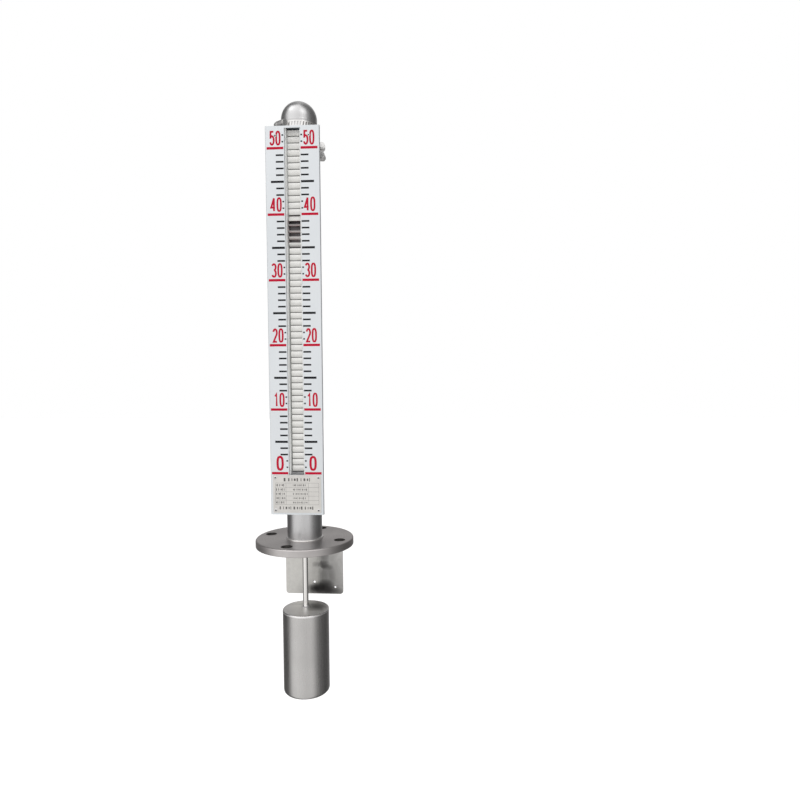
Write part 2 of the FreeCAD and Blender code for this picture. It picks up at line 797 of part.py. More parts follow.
# Scale plate, nameplate and their fasteners
def make_scale_plate():
    """A sheet folded back along both sides, with the long slot for the flaps."""
    body = new_body("scale_plate")
    inside = "plate_width / 2 - plate_thickness"
    section = [
        ("-plate_width / 2", "-plate_front"),
        ("plate_width / 2", "-plate_front"),
        ("plate_width / 2", "-plate_front + plate_fold_depth"),
        (inside, "-plate_front + plate_fold_depth"),
        (inside, "-plate_back"),
        (f"-({inside})", "-plate_back"),
        (f"-({inside})", "-plate_front + plate_fold_depth"),
        ("-plate_width / 2", "-plate_front + plate_fold_depth"),
    ]
    sheet_metal = pad(body, new_sketch(body, "XY_Plane", [section], lift="plate_bottom"),
                      "plate_top - plate_bottom")
    front = number("plate_front")
    side = number("plate_width / 2")
    corner = straight_along(UP, lambda p: abs(p.y + front) < 1e-3 and abs(abs(p.x) - side) < 1e-3)
    round_edges(body, sheet_metal, "plate_fold_round", corner)
    slot = rectangle("-slot_half", "slot_bottom", "slot_half", "slot_top")
    cutter = new_sketch(body, "XZ_Plane", [slot], front_holes())
    pocket(body, cutter)
    return body


def make_nameplate():
    body = new_body("nameplate")
    half = "nameplate_width / 2"
    blank = rectangle(f"-{half}", "nameplate_bottom", half, "nameplate_top")
    sketch = new_sketch(body, "XZ_Plane", [blank], front_holes()[:4], lift="plate_front")
    plate = pad(body, sketch, "nameplate_thickness")
    edge = number(half)
    corner = straight_along(BACK, lambda p: abs(abs(p.x) - edge) < 1e-3)
    round_edges(body, plate, "nameplate_corner", corner)
    return body


def make_headed_pin(name, diameter, head_diameter, head_height, length):
    """A domed head on a plain shank, head up, with the underside of the head at the origin."""
    crown = f"0.75 * {head_height}"
    ball_radius = f"({head_diameter} ^ 2 / 4 + ({crown}) ^ 2) / (2 * {crown})"
    ball = document.addObject("Part::Sphere", name + "_ball")
    bind(ball, "Radius", ball_radius)
    place(ball, z=f"{head_height} - ({ball_radius})")
    blank = cylinder(name + "_blank", f"{head_diameter} / 2", "0", head_height)
    head = boolean("Common", name + "_head", blank, ball)
    shank = cylinder(name + "_shank", f"{diameter} / 2", f"-({length})", "0")
    return boolean("Fuse", name, head, shank)


def make_nameplate_rivets():
    master = make_headed_pin("rivet_master", "rivet_diameter", "rivet_head_diameter", "rivet_head_height",
                             "nameplate_thickness + plate_thickness + lip_thickness")
    face = "-plate_front - nameplate_thickness"
    places = [at(across, face, height, FACING_FRONT)
              for across in ("-rivet_across", "rivet_across") for height in ("rivet_low", "rivet_high")]
    return copies("nameplate_rivets", master, places)


def make_scale_screws():
    master = make_headed_pin("scale_screw_master", "scale_screw_diameter", "scale_screw_head_diameter",
                             "scale_screw_head_height", "plate_thickness + lip_thickness + 1")
    places = [at(across, "-plate_front", "scale_screw_height", FACING_FRONT)
              for across in ("-scale_screw_across", "scale_screw_across")]
    return copies("scale_screws", master, places)


def make_saddle_rivets():
    master = make_headed_pin("saddle_rivet_master", "saddle_rivet_diameter", "saddle_rivet_head_diameter",
                             "saddle_rivet_head_height", "channel_floor_thickness + saddle_thickness / 2")
    places = [at("0", "-channel_floor", height, FACING_FRONT) for height in SADDLE_RIVET_HEIGHTS]
    return copies("saddle_rivets", master, places)


# Hose clamps and the saddles that they hold to the standpipe
def clamp_places():
    """Where each clamp's worm housing stands: its turn about the pipe, its height, and its roll."""
    clamps = ((-127, "top_clamp_height", 0), (10, "upper_clamp_height", 0),
              (3, "middle_clamp_height", 180), (118, "lower_clamp_height", 0))
    return [at("0", "0", height, FreeCAD.Rotation(UP, turn).multiply(FreeCAD.Rotation(ACROSS, roll)))
            for turn, height, roll in clamps]


def make_clamp_bands():
    outer = cylinder("band_outside", "band_outer", "-band_width / 2", "band_width / 2")
    inner = cylinder("band_inside", "band_inner", "-band_width / 2", "band_width / 2")
    return copies("clamp_bands", cut("band_master", outer, inner), clamp_places())


def make_clamp_housings():
    """The pressed housing over the worm: feet on the band, and a round back over the screw."""
    body = new_body("housing_master")
    half = "housing_width / 2"
    inside = "band_inner"
    foot = rectangle(inside, f"-{half}", "band_outer + housing_foot", half)
    pad(body, new_sketch(body, "XZ_Plane", [foot]), "housing_length", symmetric=True)
    back = [("worm_line", "0", "worm_diameter + 2 * housing_wall")]
    pad(body, new_sketch(body, "XZ_Plane", circles=back), "housing_length", symmetric=True)
    pocket(body, new_sketch(body, "XY_Plane", circles=[("0", "0", "2 * band_outer")]))
    bore = [("worm_line", "0", "worm_diameter + 2 * seat_clearance")]
    pocket(body, new_sketch(body, "XZ_Plane", circles=bore))
    return copies("clamp_housings", body, clamp_places())


def make_clamp_screws():
    """The worm with its collar and slotted hexagon head, lying across the band."""
    body = new_body("worm_master")
    start = "-worm_length / 2"
    collar_top = "worm_length / 2 + worm_collar_thickness"
    profile = [
        ("0", start),
        ("worm_diameter / 2", start),
        ("worm_diameter / 2", "worm_length / 2"),
        ("worm_collar_diameter / 2", "worm_length / 2"),
        ("worm_collar_diameter / 2", collar_top),
        ("0", collar_top),
    ]
    revolve(body, new_sketch(body, "XZ_Plane", [profile]))
    head = new_sketch(body, "XY_Plane", [hexagon_points("worm_head_width")], lift=collar_top)
    pad(body, head, "worm_head_length")
    end = f"{collar_top} + worm_head_length"
    slot = rectangle("-worm_slot_width / 2", f"{end} - worm_slot_depth", "worm_slot_width / 2", end)
    pocket(body, new_sketch(body, "XZ_Plane", [slot]))
    body.Placement = FreeCAD.Placement(FreeCAD.Vector(), FACING_FRONT)
    place(body, x="worm_line")
    return copies("clamp_screws", body, clamp_places())


def hexagon_points(width):
    """The corners of a hexagon measured across its flats, flats up and down."""
    points = []
    for index in range(6):
        turn = 60 * index
        points.append((f"{width} / sqrt(3) * cos({turn})", f"{width} / sqrt(3) * sin({turn})"))
    points[0] = (f"{width} / sqrt(3)", "0")
    points[3] = (f"-{width} / sqrt(3)", "0")
    return points


def make_saddle(name, bottom, top, clamp_heights):
    """A block between the pipe and the channel's back, grooved where the clamp bands pass."""
    half = "saddle_width / 2"
    block = box(name + "_block", (f"-{half}", "-channel_back", bottom), (half, "0", top))
    saddle = cut(name + "_seat", block, cylinder(name + "_pipe", "tube_radius", bottom, top))
    for index, height in enumerate(clamp_heights, 1):
        low = f"{height} - band_width / 2 - band_slot_clearance"
        high = f"{height} + band_width / 2 + band_slot_clearance"
        outside = cylinder(f"{name}_groove_outside_{index}", "band_outer + band_slot_clearance", low, high)
        inside = cylinder(f"{name}_groove_inside_{index}", "band_inner", low, high)
        groove = cut(f"{name}_groove_{index}", outside, inside)
        saddle = cut(f"{name}_grooved_{index}", saddle, groove)
    return cut(name + "_bored", saddle, make_saddle_holes(name))


def make_saddle_holes(name):
    heights = [height for height in SADDLE_RIVET_HEIGHTS if height.startswith(name)]
    document.recompute()
    length = number("channel_back")
    radius = number("saddle_rivet_hole / 2")
    drills = [Part.makeCylinder(radius, length, FreeCAD.Vector(0, -length, number(height)), BACK)
              for height in heights]
    return shaped(name + "_drills", Part.makeCompound(drills))


def make_upper_saddle():
    """The upper saddle goes on upwards as a thin curved tongue under the top clamp."""
    clamps = ("middle_clamp_height", "upper_clamp_height")
    block = make_saddle("upper_saddle", "upper_saddle_bottom", "upper_saddle_top", clamps)
    outside = cylinder("tongue_outside", "band_inner", "upper_saddle_top", "tongue_top")
    inside = cylinder("tongue_inside", "tube_radius", "upper_saddle_top", "tongue_top")
    ring = cut("tongue_ring", outside, inside)
    half = "tongue_width / 2"
    limit = box("tongue_limit", (f"-{half}", "-channel_back", "upper_saddle_top"), (half, "0", "tongue_top"))
    tongue = boolean("Common", "tongue", ring, limit)
    return boolean("Fuse", "upper_saddle", block, tongue)


def make_lower_saddle():
    block = make_saddle("lower_saddle", "lower_saddle_bottom", "lower_saddle_top", ("lower_clamp_height",))
    block.Label = "lower_saddle"
    return block


# Float, rod and magnets
def make_float_rod():
    body = new_body("float_rod")
    rings = [("0", "0", "rod_diameter"), ("0", "0", "rod_bore")]
    pad(body, new_sketch(body, "XY_Plane", circles=rings, lift="rod_bottom"), "rod_top - rod_bottom")
    return body


def make_float_shell():
    body = new_body("float_shell")
    rings = [("0", "0", "float_diameter"), ("0", "0", "float_diameter - 2 * float_wall")]
    pad(body, new_sketch(body, "XY_Plane", circles=rings, lift="shell_bottom"), "shell_top - shell_bottom")
    return body


def make_float_top():
    """A shallow cone with a turned-down rim, pierced for the boss."""
    body = new_body("float_top")
    profile = [
        ("boss_radius", "float_apex"),
        ("float_radius - float_top_chamfer", "float_top"),
        ("float_radius", "float_top - float_top_chamfer"),
        ("float_radius", "shell_top"),
        ("float_radius - float_wall", "shell_top"),
        ("float_radius - float_wall", "float_top - float_wall - float_top_chamfer / 4"),
        ("boss_radius", "float_apex - float_wall"),
    ]
    revolve(body, new_sketch(body, "XZ_Plane", [profile]))
    return body


def make_float_bottom():
    """A pressed cup with a well rounded edge."""
    body = new_body("float_bottom")
    profile = [
        ("0", "float_bottom"),
        ("float_radius", "float_bottom"),
        ("float_radius", "shell_bottom"),
        ("float_radius - float_wall", "shell_bottom"),
        ("float_radius - float_wall", "float_bottom + float_wall"),
        ("0", "float_bottom + float_wall"),
    ]
    cup = revolve(body, new_sketch(body, "XZ_Plane", [profile]))
    cup = round_edges(body, cup, "float_bottom_round", ring_at("float_radius", "float_bottom"))
    inner = ring_at("float_radius - float_wall", "float_bottom + float_wall")
    round_edges(body, cup, "float_bottom_round - float_wall", inner)
    return body


def make_float_boss():
    """The socket in the float's top that the rod is welded into, with a collar on the cone."""
    body = new_body("float_boss")
    collar_top = "float_apex + boss_collar_height"
    profile = [
        ("0", "float_apex - boss_depth"),
        ("boss_radius", "float_apex - boss_depth"),
        ("boss_radius", "float_apex"),
        ("boss_collar_radius", "float_apex"),
        ("rod_diameter / 2 + boss_collar_height / 2", collar_top),
        ("rod_diameter / 2", collar_top),
        ("rod_diameter / 2", "rod_bottom"),
        ("0", "rod_bottom"),
    ]
    revolve(body, new_sketch(body, "XZ_Plane", [profile]))
    return body


def make_magnet_carrier():
    """A guide disc with a sleeve that the ring magnets are threaded on."""
    body = new_body("magnet_carrier")
    profile = [
        ("rod_hole", "carrier_bottom"),
        ("carrier_diameter / 2", "carrier_bottom"),
        ("carrier_diameter / 2", "magnet_bottom"),
        ("sleeve_radius", "magnet_bottom"),
        ("sleeve_radius", "magnet_top"),
        ("rod_hole", "magnet_top"),
    ]
    revolve(body, new_sketch(body, "XZ_Plane", [profile]))
    return body


def make_float_magnets():
    """Two ring magnets, one on the other."""
    outer = cylinder("magnet_outside", "magnet_diameter / 2", "0", "magnet_height")
    inner = cylinder("magnet_inside", "sleeve_radius + seat_clearance", "0", "magnet_height")
    places = [at("0", "0", height) for height in ("magnet_bottom", "magnet_middle")]
    return copies("float_magnets", cut("magnet_master", outer, inner), places)


def make_magnet_cap():
    outer = cylinder("magnet_cap_disc", "carrier_diameter / 2", "magnet_top", "carrier_top")
    return cut("magnet_cap", outer, cylinder("magnet_cap_hole", "rod_hole", "magnet_top", "carrier_top"))


def make_rod_locknuts():
    master = make_nut("rod_nut_master", "rod_nut_width", "rod_hole", "0", "rod_nut_thickness")
    places = [at("0", "0", "carrier_top"), at("0", "0", "carrier_bottom - rod_nut_thickness")]
    return copies("rod_locknuts", master, places)


def make_all():
    """Every piece of the gauge, by the name of its file."""
    flaps = flap_count()
    pieces = [
        make_standpipe(), make_dome_cap(), make_mounting_flange(), make_tube_weld(), make_cap_weld(),
        make_guide_bush(), make_nut("guide_locknut", "guide_nut_width", "bush_hole_diameter / 2",
                                    "nut_bottom", "-bracket_thickness"),
        make_support_bracket(), make_indicator_channel(), make_window(),
        make_pivot_rail("left_pivot_rail", "-slot_half", "-rail_inner"),
        make_pivot_rail("right_pivot_rail", "rail_inner", "slot_half"),
        make_top_end_plug(), make_bottom_end_plug(), make_scale_plate(), make_nameplate(),
        make_nameplate_rivets(), make_scale_screws(), make_saddle_rivets(),
        make_clamp_bands(), make_clamp_housings(), make_clamp_screws(),
        make_upper_saddle(), make_lower_saddle(), make_lower_flaps(FIRST_HINGED_FLAP),
        make_float_rod(), make_float_shell(), make_float_top(), make_float_bottom(), make_float_boss(),
        make_magnet_carrier(), make_float_magnets(), make_magnet_cap(), make_rod_locknuts(),
    ]
    pieces += [make_hinged_flap(index) for index in range(FIRST_HINGED_FLAP, flaps)]
    return pieces


def write(pieces):
    """Check every object, then write each piece to its own file."""
    document.recompute()
    for item in document.Objects:
        if "Invalid" in item.State or "Error" in item.State:
            raise ValueError(f"{item.Name} failed: {item.State}")
    for piece in pieces:
        if piece.Shape.isNull() or not piece.Shape.isValid():
            raise ValueError(f"{piece.Label} has no valid shape")
    os.makedirs("parts", exist_ok=True)
    for piece in pieces:
        piece.Shape.exportStep(f"parts/{piece.Label}.step")
        bounds = piece.Shape.BoundBox
        print(f"{piece.Label}: {len(piece.Shape.Solids)} solids, {piece.Shape.Volume:.1f} mm3, "
              f"z {bounds.ZMin:.1f} to {bounds.ZMax:.1f}")


write(make_all())
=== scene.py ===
"""Looks of a top-mounted magnetic level gauge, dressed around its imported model."""
import json
import math

import bmesh
import bpy
from mathutils import Matrix, Vector


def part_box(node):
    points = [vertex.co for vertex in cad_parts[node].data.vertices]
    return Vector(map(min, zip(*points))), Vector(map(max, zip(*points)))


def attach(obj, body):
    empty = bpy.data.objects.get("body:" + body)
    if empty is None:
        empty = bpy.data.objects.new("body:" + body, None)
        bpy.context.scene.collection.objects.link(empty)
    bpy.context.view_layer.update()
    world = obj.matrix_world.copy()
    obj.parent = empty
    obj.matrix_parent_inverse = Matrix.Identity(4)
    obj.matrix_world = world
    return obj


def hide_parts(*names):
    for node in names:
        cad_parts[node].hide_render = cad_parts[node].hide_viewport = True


MM = 0.001

# Camera: where it stands and looks, and its focal length in pixels of an 800-pixel frame
CAMERA_AT = (228.7 * MM, -1059.0 * MM, 295.0 * MM)
CAMERA_RIGHT = (0.99784, 0.06539, -0.00618)
CAMERA_UP = (0.00266, 0.05375, 0.99855)
FOCAL_PIXELS = 656.1
FRAME_PIXELS = 800
SENSOR_WIDTH = 36
FAR_CLIP = 60

# Scale printing, in millimetres from the scale's zero mark and from the plate's middle
SCALE_MARKS = 50
MARKS_ABOVE_SCALE = 2
MARK_SPACING = 10
PRINT_MIDDLE = -0.3
MARK_INNER_END = 13.3
TICK_LENGTH, TICK_HEIGHT = 12, 2.6
HALF_LENGTH, HALF_HEIGHT = 20, 3.4
TEN_LENGTH, TEN_HEIGHT, TEN_RISE = 26, 3.8, 0.6
DOT_LENGTH, DOT_HEIGHT = 2.7, 2.3
INK_THICKNESS = 0.06

# Numerals, in millimetres, standing above the mark that they name
NUMERAL_MIDDLE = 26.1
NUMERAL_BASE, NUMERAL_HEIGHT = 4.5, 22.2
NUMERAL_WIDTH, NUMERAL_GAP, NUMERAL_STROKE = 8.2, 1.0, 2.8
FOUR_WIDTH = 8.8
LONE_DIGIT_WIDTH, LONE_DIGIT_RISE, LONE_DIGIT_STROKE = 11.6, 1.3, 3.6
OVERLAP_LIFT = 0.2

# Ruled form on the nameplate, in millimetres from the nameplate's edges
FORM_ROWS = 5
FORM_SIDE, FORM_HEAD, FORM_FOOT = 3.6, 12.5, 12.8
RULE_WIDTH = 0.25
FIRST_COLUMN, LAST_COLUMN = 17, 16
TITLE_DROP, FOOTER_RISE = 7.2, 7.6

# Dashes on the nameplate, in millimetres: start, end, height, and how much wider than the finest print.
# Labels and values start from the form's left side, the title and footer from the nameplate's middle.
LABEL_DASHES = (1.0, 15.5, 3.8, 1.15)
VALUE_DASHES = (28, 48, 3.2, 1.1)
TITLE_DASHES = (-21, 20, 5.2, 2.3)
FOOTER_DASHES = (-28, 27, 4.8, 2.0)

# Plate, pipe, flange and bracket, in millimetres and degrees
PLATE_BELOW_ZERO = 65
PIPE_WALL = 2.9
BOLT_CIRCLE, BOLT_HOLE, BOLT_TURN = 125, 18, 15
SHEET_FRONT = 75

# Float, in millimetres
FLOAT_WALL = 1.2
FLOAT_LID_RISE = 3
FLOAT_CORNER = 6
RIM_ROUND = 1.4
NECK_RADIUS = 7.5

# Clamps, in millimetres: the middle two hang below the plate's top
BAND_RADIUS, BAND_THICKNESS, BAND_WIDTH = 30.0, 0.7, 9.0
BAND_SLOTS, SLOT_HALF_HEIGHT, SLOT_LEAN = 42, 2.9, 0.28
# Painted shade behind the bands' slots: a dark ring's half height, inner radius and thickness
SLOT_SHADE_HALF_HEIGHT, SLOT_SHADE_RADIUS, SLOT_SHADE_THICKNESS = 3.3, 28.6, 0.55
CLAMP_DROPS = (15, 30)

# Discs of painted shade in the hollow middles of small fasteners: node, radius, and how far in from the
# node's edges
FASTENER_SHADE_DISCS = (("nameplate_rivets", 1.25, 2.4), ("scale_screws", 1.1, 2.2))
CORE_DEPTH = 1.1

# How the flaps that the magnets have disturbed stand, by the scale mark at their foot, in degrees
TURNED_FLAPS = {35: 52, 36: 66, 37: 80, 38: 88, 39: -30}

# Dark patches on the bracket's hanging sheet: middle across and up, half width, half height, darkness
BRACKET_DARK_PATCHES = (
    (16, -44, 9, 14, 0.42),
    (16, -59, 9, 7, 0.6),
    (22, -64, 10, 5, 0.45),
    (4, -57, 8, 5, 0.34),
    (14, -78, 8, 24, 0.42),
    (28, -82, 9, 22, 0.3),
    (20, -70, 30, 40, 0.28),
    (3, -101, 16, 9, 0.97),
    (18, -99, 16, 11, 0.93),
    (30, -107, 20, 8, 0.75),
)
# Dark patches on the float's lid: middle across and back, half width, half depth, darkness
LID_DARK_PATCHES = (
    (17, 0, 15, 14, 0.75),
    (6, 14, 20, 10, 0.4),
)

# Brightness of the room by degrees round from the front, with the right side positive, and by height
ROOM_ROUND = ((-180, 0.46), (-152, 0.32), (-128, 0.12), (-95, 0.10), (-80, 0.30), (-66, 1.0), (-40, 1.08),
              (-10, 0.98), (10, 0.88), (38, 0.95), (50, 0.72), (62, 0.40), (80, 0.20), (105, 0.12),
              (135, 0.10), (157, 0.26), (180, 0.46))
ROOM_RISE = ((-1.0, 0.8), (-0.4, 0.86), (-0.1, 0.95), (0.3, 1.15), (0.6, 1.25), (0.91, 1.4), (1.0, 1.4))
ROOM_TINT = (1.0, 0.985, 0.98)

# Lamps, in metres and watts: place, aim, side of the square, power
LAMPS = {
    "left_top": ((-0.62, -0.29, 1.68), (0, 0, 0.69), 0.5, 0.8),
    "right_top": ((0.70, -0.74, 1.52), (0, 0, 0.69), 0.75, 1.1),
    "front_fill": ((0.3, -3.0, -0.1), (0, 0, 0.3), 2, 15),
}
FLOOR_SIZE, FLOOR_HEIGHT = 12.0, -0.78

SMOOTH_ANGLE = math.radians(32)

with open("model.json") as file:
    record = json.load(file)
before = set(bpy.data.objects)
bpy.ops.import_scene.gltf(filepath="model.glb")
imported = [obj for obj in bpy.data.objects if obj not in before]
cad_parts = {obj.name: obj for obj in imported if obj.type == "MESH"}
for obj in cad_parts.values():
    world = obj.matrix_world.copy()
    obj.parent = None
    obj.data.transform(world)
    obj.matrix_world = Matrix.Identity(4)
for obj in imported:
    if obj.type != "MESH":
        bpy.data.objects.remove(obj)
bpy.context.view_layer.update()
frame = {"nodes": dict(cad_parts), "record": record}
NODES = frame["nodes"]
MATERIALS = {}


def box_mm(node):
    """A node's lowest and highest corners in millimetres."""
    low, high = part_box(node)
    return low / MM, high / MM


# Frame sizes that the dressing follows, in millimetres
PLATE_LOW, PLATE_HIGH = box_mm("scale_plate")
NAMEPLATE_LOW, NAMEPLATE_HIGH = box_mm("nameplate")
PIPE_LOW, PIPE_HIGH = box_mm("standpipe")
CAP_LOW, CAP_HIGH = box_mm("dome_cap")
FLANGE_TOP = box_mm("mounting_flange")[1].z
SHELL_LOW, SHELL_HIGH = box_mm("float_shell")
TOP_LOW, TOP_HIGH = box_mm("float_top")
BOTTOM_LOW, BOTTOM_HIGH = box_mm("float_bottom")
NECK_LOW, NECK_HIGH = box_mm("float_boss")
ROD_RADIUS = box_mm("float_rod")[1].x
BAND_LOW, BAND_HIGH = box_mm("clamp_bands")
FLAP_FOOT = box_mm("lower_flaps")[0].z
ZERO_HEIGHT = PLATE_LOW.z + PLATE_BELOW_ZERO
CLAMP_HEIGHTS = [BAND_HIGH.z - BAND_WIDTH / 2]
CLAMP_HEIGHTS += [PLATE_HIGH.z - drop for drop in CLAMP_DROPS]
CLAMP_HEIGHTS += [BAND_LOW.z + BAND_WIDTH / 2]


# Nodes of a material
class Shader:
    """A material under construction: short calls add nodes and join them."""

    def __init__(self, name):
        self.material = bpy.data.materials.new(name)
        self.material.use_nodes = True
        self.tree = self.material.node_tree
        self.principled = self.tree.nodes["Principled BSDF"]
        coordinates = self.node("ShaderNodeTexCoord")
        self.place = coordinates.outputs["Object"]
        self.normal = coordinates.outputs["Normal"]
        MATERIALS[name] = self.material

    def node(self, kind, **settings):
        """A new node with its settings."""
        made = self.tree.nodes.new(kind)
        for key, value in settings.items():
            setattr(made, key, value)
        return made

    def join(self, source, target):
        """A link from one socket to another."""
        self.tree.links.new(source, target)

    def axes(self):
        """The place's X, Y and Z, in metres."""
        split = self.node("ShaderNodeSeparateXYZ")
        self.join(self.place, split.inputs["Vector"])
        return [split.outputs[axis] for axis in "XYZ"]

    def set(self, **values):
        """Plain values on the shader's own sockets, with underscores for spaces."""
        for key, value in values.items():
            socket = self.principled.inputs[key.replace("_", " ")]
            socket.default_value = (*value, 1) if isinstance(value, tuple) else value

    def stretched(self, scale):
        """The place, scaled along each axis."""
        mapping = self.node("ShaderNodeMapping")
        mapping.inputs["Scale"].default_value = scale
        self.join(self.place, mapping.inputs["Vector"])
        return mapping.outputs["Vector"]

    def noise(self, scale, detail=3.0, roughness=0.55, stretch=(1, 1, 1), distortion=0.0):
        """Noise from 0 to 1, at a scale in waves per metre."""
        texture = self.node("ShaderNodeTexNoise")
        texture.inputs["Scale"].default_value = scale
        texture.inputs["Detail"].default_value = detail
        texture.inputs["Roughness"].default_value = roughness
        texture.inputs["Distortion"].default_value = distortion
        self.join(self.stretched(stretch), texture.inputs["Vector"])
        return texture.outputs["Fac"]

    def ring_noise(self, scale):
        """Noise that is the same all round the Z axis, for turned faces."""
        x, y, z = self.axes()
        radius = self.math("POWER", self.squares(x, y), 0.5)
        texture = self.node("ShaderNodeTexNoise", noise_dimensions="1D")
        texture.inputs["Scale"].default_value = scale
        texture.inputs["Detail"].default_value = 4
        self.join(self.math("ADD", radius, z), texture.inputs["W"])
        return texture.outputs["Fac"]

    def math(self, operation, first, second):
        """One operation on two values, each a number or a socket."""
        made = self.node("ShaderNodeMath", operation=operation)
        for socket, value in zip(made.inputs, (first, second)):
            if isinstance(value, (int, float)):
                socket.default_value = value
            else:
                self.join(value, socket)
        return made.outputs["Value"]

    def squares(self, first, second):
        """The sum of two squares."""
        return self.math("ADD", self.math("POWER", first, 2.0), self.math("POWER", second, 2.0))

    def spread(self, value, low, high, start=0.3, end=0.7):
        """Map the value's start to end onto low to high."""
        made = self.node("ShaderNodeMapRange")
        for key, number in (("From Min", start), ("From Max", end), ("To Min", low), ("To Max", high)):
            made.inputs[key].default_value = number
        self.join(value, made.inputs["Value"])
        return made.outputs["Result"]

    def mix(self, share, first, second):
        """Colour between first and second by a share."""
        made = self.node("ShaderNodeMix", data_type="RGBA")
        for key, value in (("A", first), ("B", second)):
            socket = next(s for s in made.inputs if s.name == key and s.type == "RGBA")
            if isinstance(value, tuple):
                socket.default_value = (*value, 1)
            else:
                self.join(value, socket)
        self.join(share, made.inputs["Factor"])
        return next(s for s in made.outputs if s.type == "RGBA")

    def tones(self, noise, first, second):
        """A colour that wanders between two with a noise."""
        return self.mix(self.spread(noise, 0.0, 1.0), first, second)

    def stain(self, spots, across, up, wander):
        """How dark the patches make a place, from 0 to 1. Noise wander in metres frays their outlines."""
        first = self.noise(60, 4, 0.6, (1.0, 1.0, 0.6), 0.8)
        second = self.noise(26, 3, 0.55, (1.0, 1.0, 0.7), 0.4)
        across = self.math("ADD", across, self.spread(first, -wander, wander))
        up = self.math("ADD", up, self.spread(second, -wander, wander))
        clean = 1.0
        for middle, height, half_width, half_height, strength in spots:
            aside = self.math("DIVIDE", self.math("SUBTRACT", across, middle * MM), half_width * MM)
            above = self.math("DIVIDE", self.math("SUBTRACT", up, height * MM), half_height * MM)
            reach = self.squares(aside, above)
            clean = self.math("MULTIPLY", clean, self.spread(reach, 1 - strength, 1.0, 0.0, 1.5))
        return self.math("SUBTRACT", 1.0, clean)

    def bump(self, height, depth, strength):
        """Bump of a depth in millimetres."""
        made = self.node("ShaderNodeBump")
        made.inputs["Distance"].default_value = depth * MM
        made.inputs["Strength"].default_value = strength
        self.join(height, made.inputs["Height"])
        self.join(made.outputs["Normal"], self.principled.inputs["Normal"])

    def colour(self, output):
        """The base colour."""
        self.join(output, self.principled.inputs["Base Color"])

    def overlay(self, share, colour):
        """Cover the base colour so far with another by a share."""
        so_far = self.principled.inputs["Base Color"].links[0].from_socket
        self.colour(self.mix(share, so_far, colour))

    def rough(self, output):
        """The roughness."""
        self.join(output, self.principled.inputs["Roughness"])


def brushed(name, light, dark, rough, grain_scale, stretch, blotch_scale=9.0, depth=0.01):
    """Satin metal with fine scratches along one direction and slow changes of tone."""
    shader = Shader(name)
    shader.set(Metallic=1.0)
    grain = shader.noise(grain_scale, 2, 0.6, stretch)
    blotches = shader.noise(blotch_scale, 4, 0.6)
    shader.colour(shader.tones(blotches, light, dark))
    shader.rough(shader.math("ADD", shader.spread(grain, rough - 0.05, rough + 0.06),
                             shader.spread(blotches, -0.03, 0.03)))
    shader.bump(grain, depth, 0.5)
    return shader


def turned(name, light, dark, rough, scale):
    """Metal turned on a lathe, with rings round the Z axis."""
    shader = Shader(name)
    shader.set(Metallic=1.0, Anisotropic=0.5)
    tangent = shader.node("ShaderNodeTangent", direction_type="RADIAL", axis="Z")
    shader.join(tangent.outputs["Tangent"], shader.principled.inputs["Tangent"])
    rings = shader.ring_noise(scale)
    blotches = shader.noise(16, 4, 0.6)
    tone = shader.math("ADD", shader.spread(rings, -0.15, 0.15), shader.spread(blotches, 0.1, 0.9))
    shader.colour(shader.mix(tone, light, dark))
    shader.rough(shader.spread(rings, rough - 0.05, rough + 0.08))
    shader.bump(rings, 0.012, 0.6)
    return shader


def plastic(name, colour, other, rough):
    """Moulded plastic and the like, without metal and slightly uneven in tone."""
    shader = Shader(name)
    grain = shader.noise(60, 3)
    shader.colour(shader.tones(grain, colour, other))
    shader.rough(shader.spread(grain, rough - 0.06, rough + 0.06))
    shader.bump(shader.noise(1500, 2), 0.01, 0.4)


def make_bracket_steel():
    """Sheet steel, brushed across, duller on its right, with dark patches on its right and lower parts."""
    shader = Shader("bracket_steel")
    shader.set(Metallic=1.0)
    grain = shader.noise(900, 2, 0.6, (0.06, 1, 1))
    clouds = shader.noise(60, 4, 0.6, (1.0, 1, 0.6), 0.8)
    specks = shader.noise(150, 4, 0.75)
    x, y, z = shader.axes()
    patches = shader.stain(BRACKET_DARK_PATCHES, x, z, 3.2 * MM)
    front = shader.spread(y, 1.0, 0.2, (SHEET_FRONT + 0.3) * MM, (SHEET_FRONT + 1.2) * MM)
    patches = shader.math("MULTIPLY", patches, front)
    sheet = shader.tones(specks, (0.68, 0.675, 0.645), (0.60, 0.595, 0.57))
    dull = shader.tones(clouds, (0.62, 0.62, 0.605), (0.44, 0.435, 0.425))
    right = shader.spread(x, 0.0, 1.0, 2 * MM, 22 * MM)
    shader.colour(shader.mix(right, sheet, dull))
    # Dark patches over the sheet's front face, darkest low down
    shader.overlay(patches, (0.03, 0.028, 0.028))
    shader.rough(shader.math("ADD", shader.spread(grain, 0.34, 0.46), shader.math("MULTIPLY", patches, 0.2)))
    shader.bump(grain, 0.012, 0.5)


def make_flange_steel():
    """Turned steel, with painted shade darkening the walls of the bolt holes."""
    shader = turned("flange_steel", (0.62, 0.60, 0.59), (0.46, 0.44, 0.435), 0.36, 900)
    x, y, _ = shader.axes()
    wall = (BOLT_HOLE / 2 * MM) ** 2
    painted_shade = 0.0
    for index in range(4):
        turn = math.radians(90 * index - BOLT_TURN)
        aside = shader.math("SUBTRACT", x, BOLT_CIRCLE / 2 * math.cos(turn) * MM)
        along = shader.math("SUBTRACT", y, BOLT_CIRCLE / 2 * math.sin(turn) * MM)
        hole = shader.spread(shader.squares(aside, along), 1.0, 0.0, wall * 1.02, wall * 1.12)
        painted_shade = shader.math("MAXIMUM", painted_shade, hole)
    # Painted shade: the bolt holes' walls are darkened where shade falls in them.
    shader.overlay(painted_shade, (0.26, 0.252, 0.245))


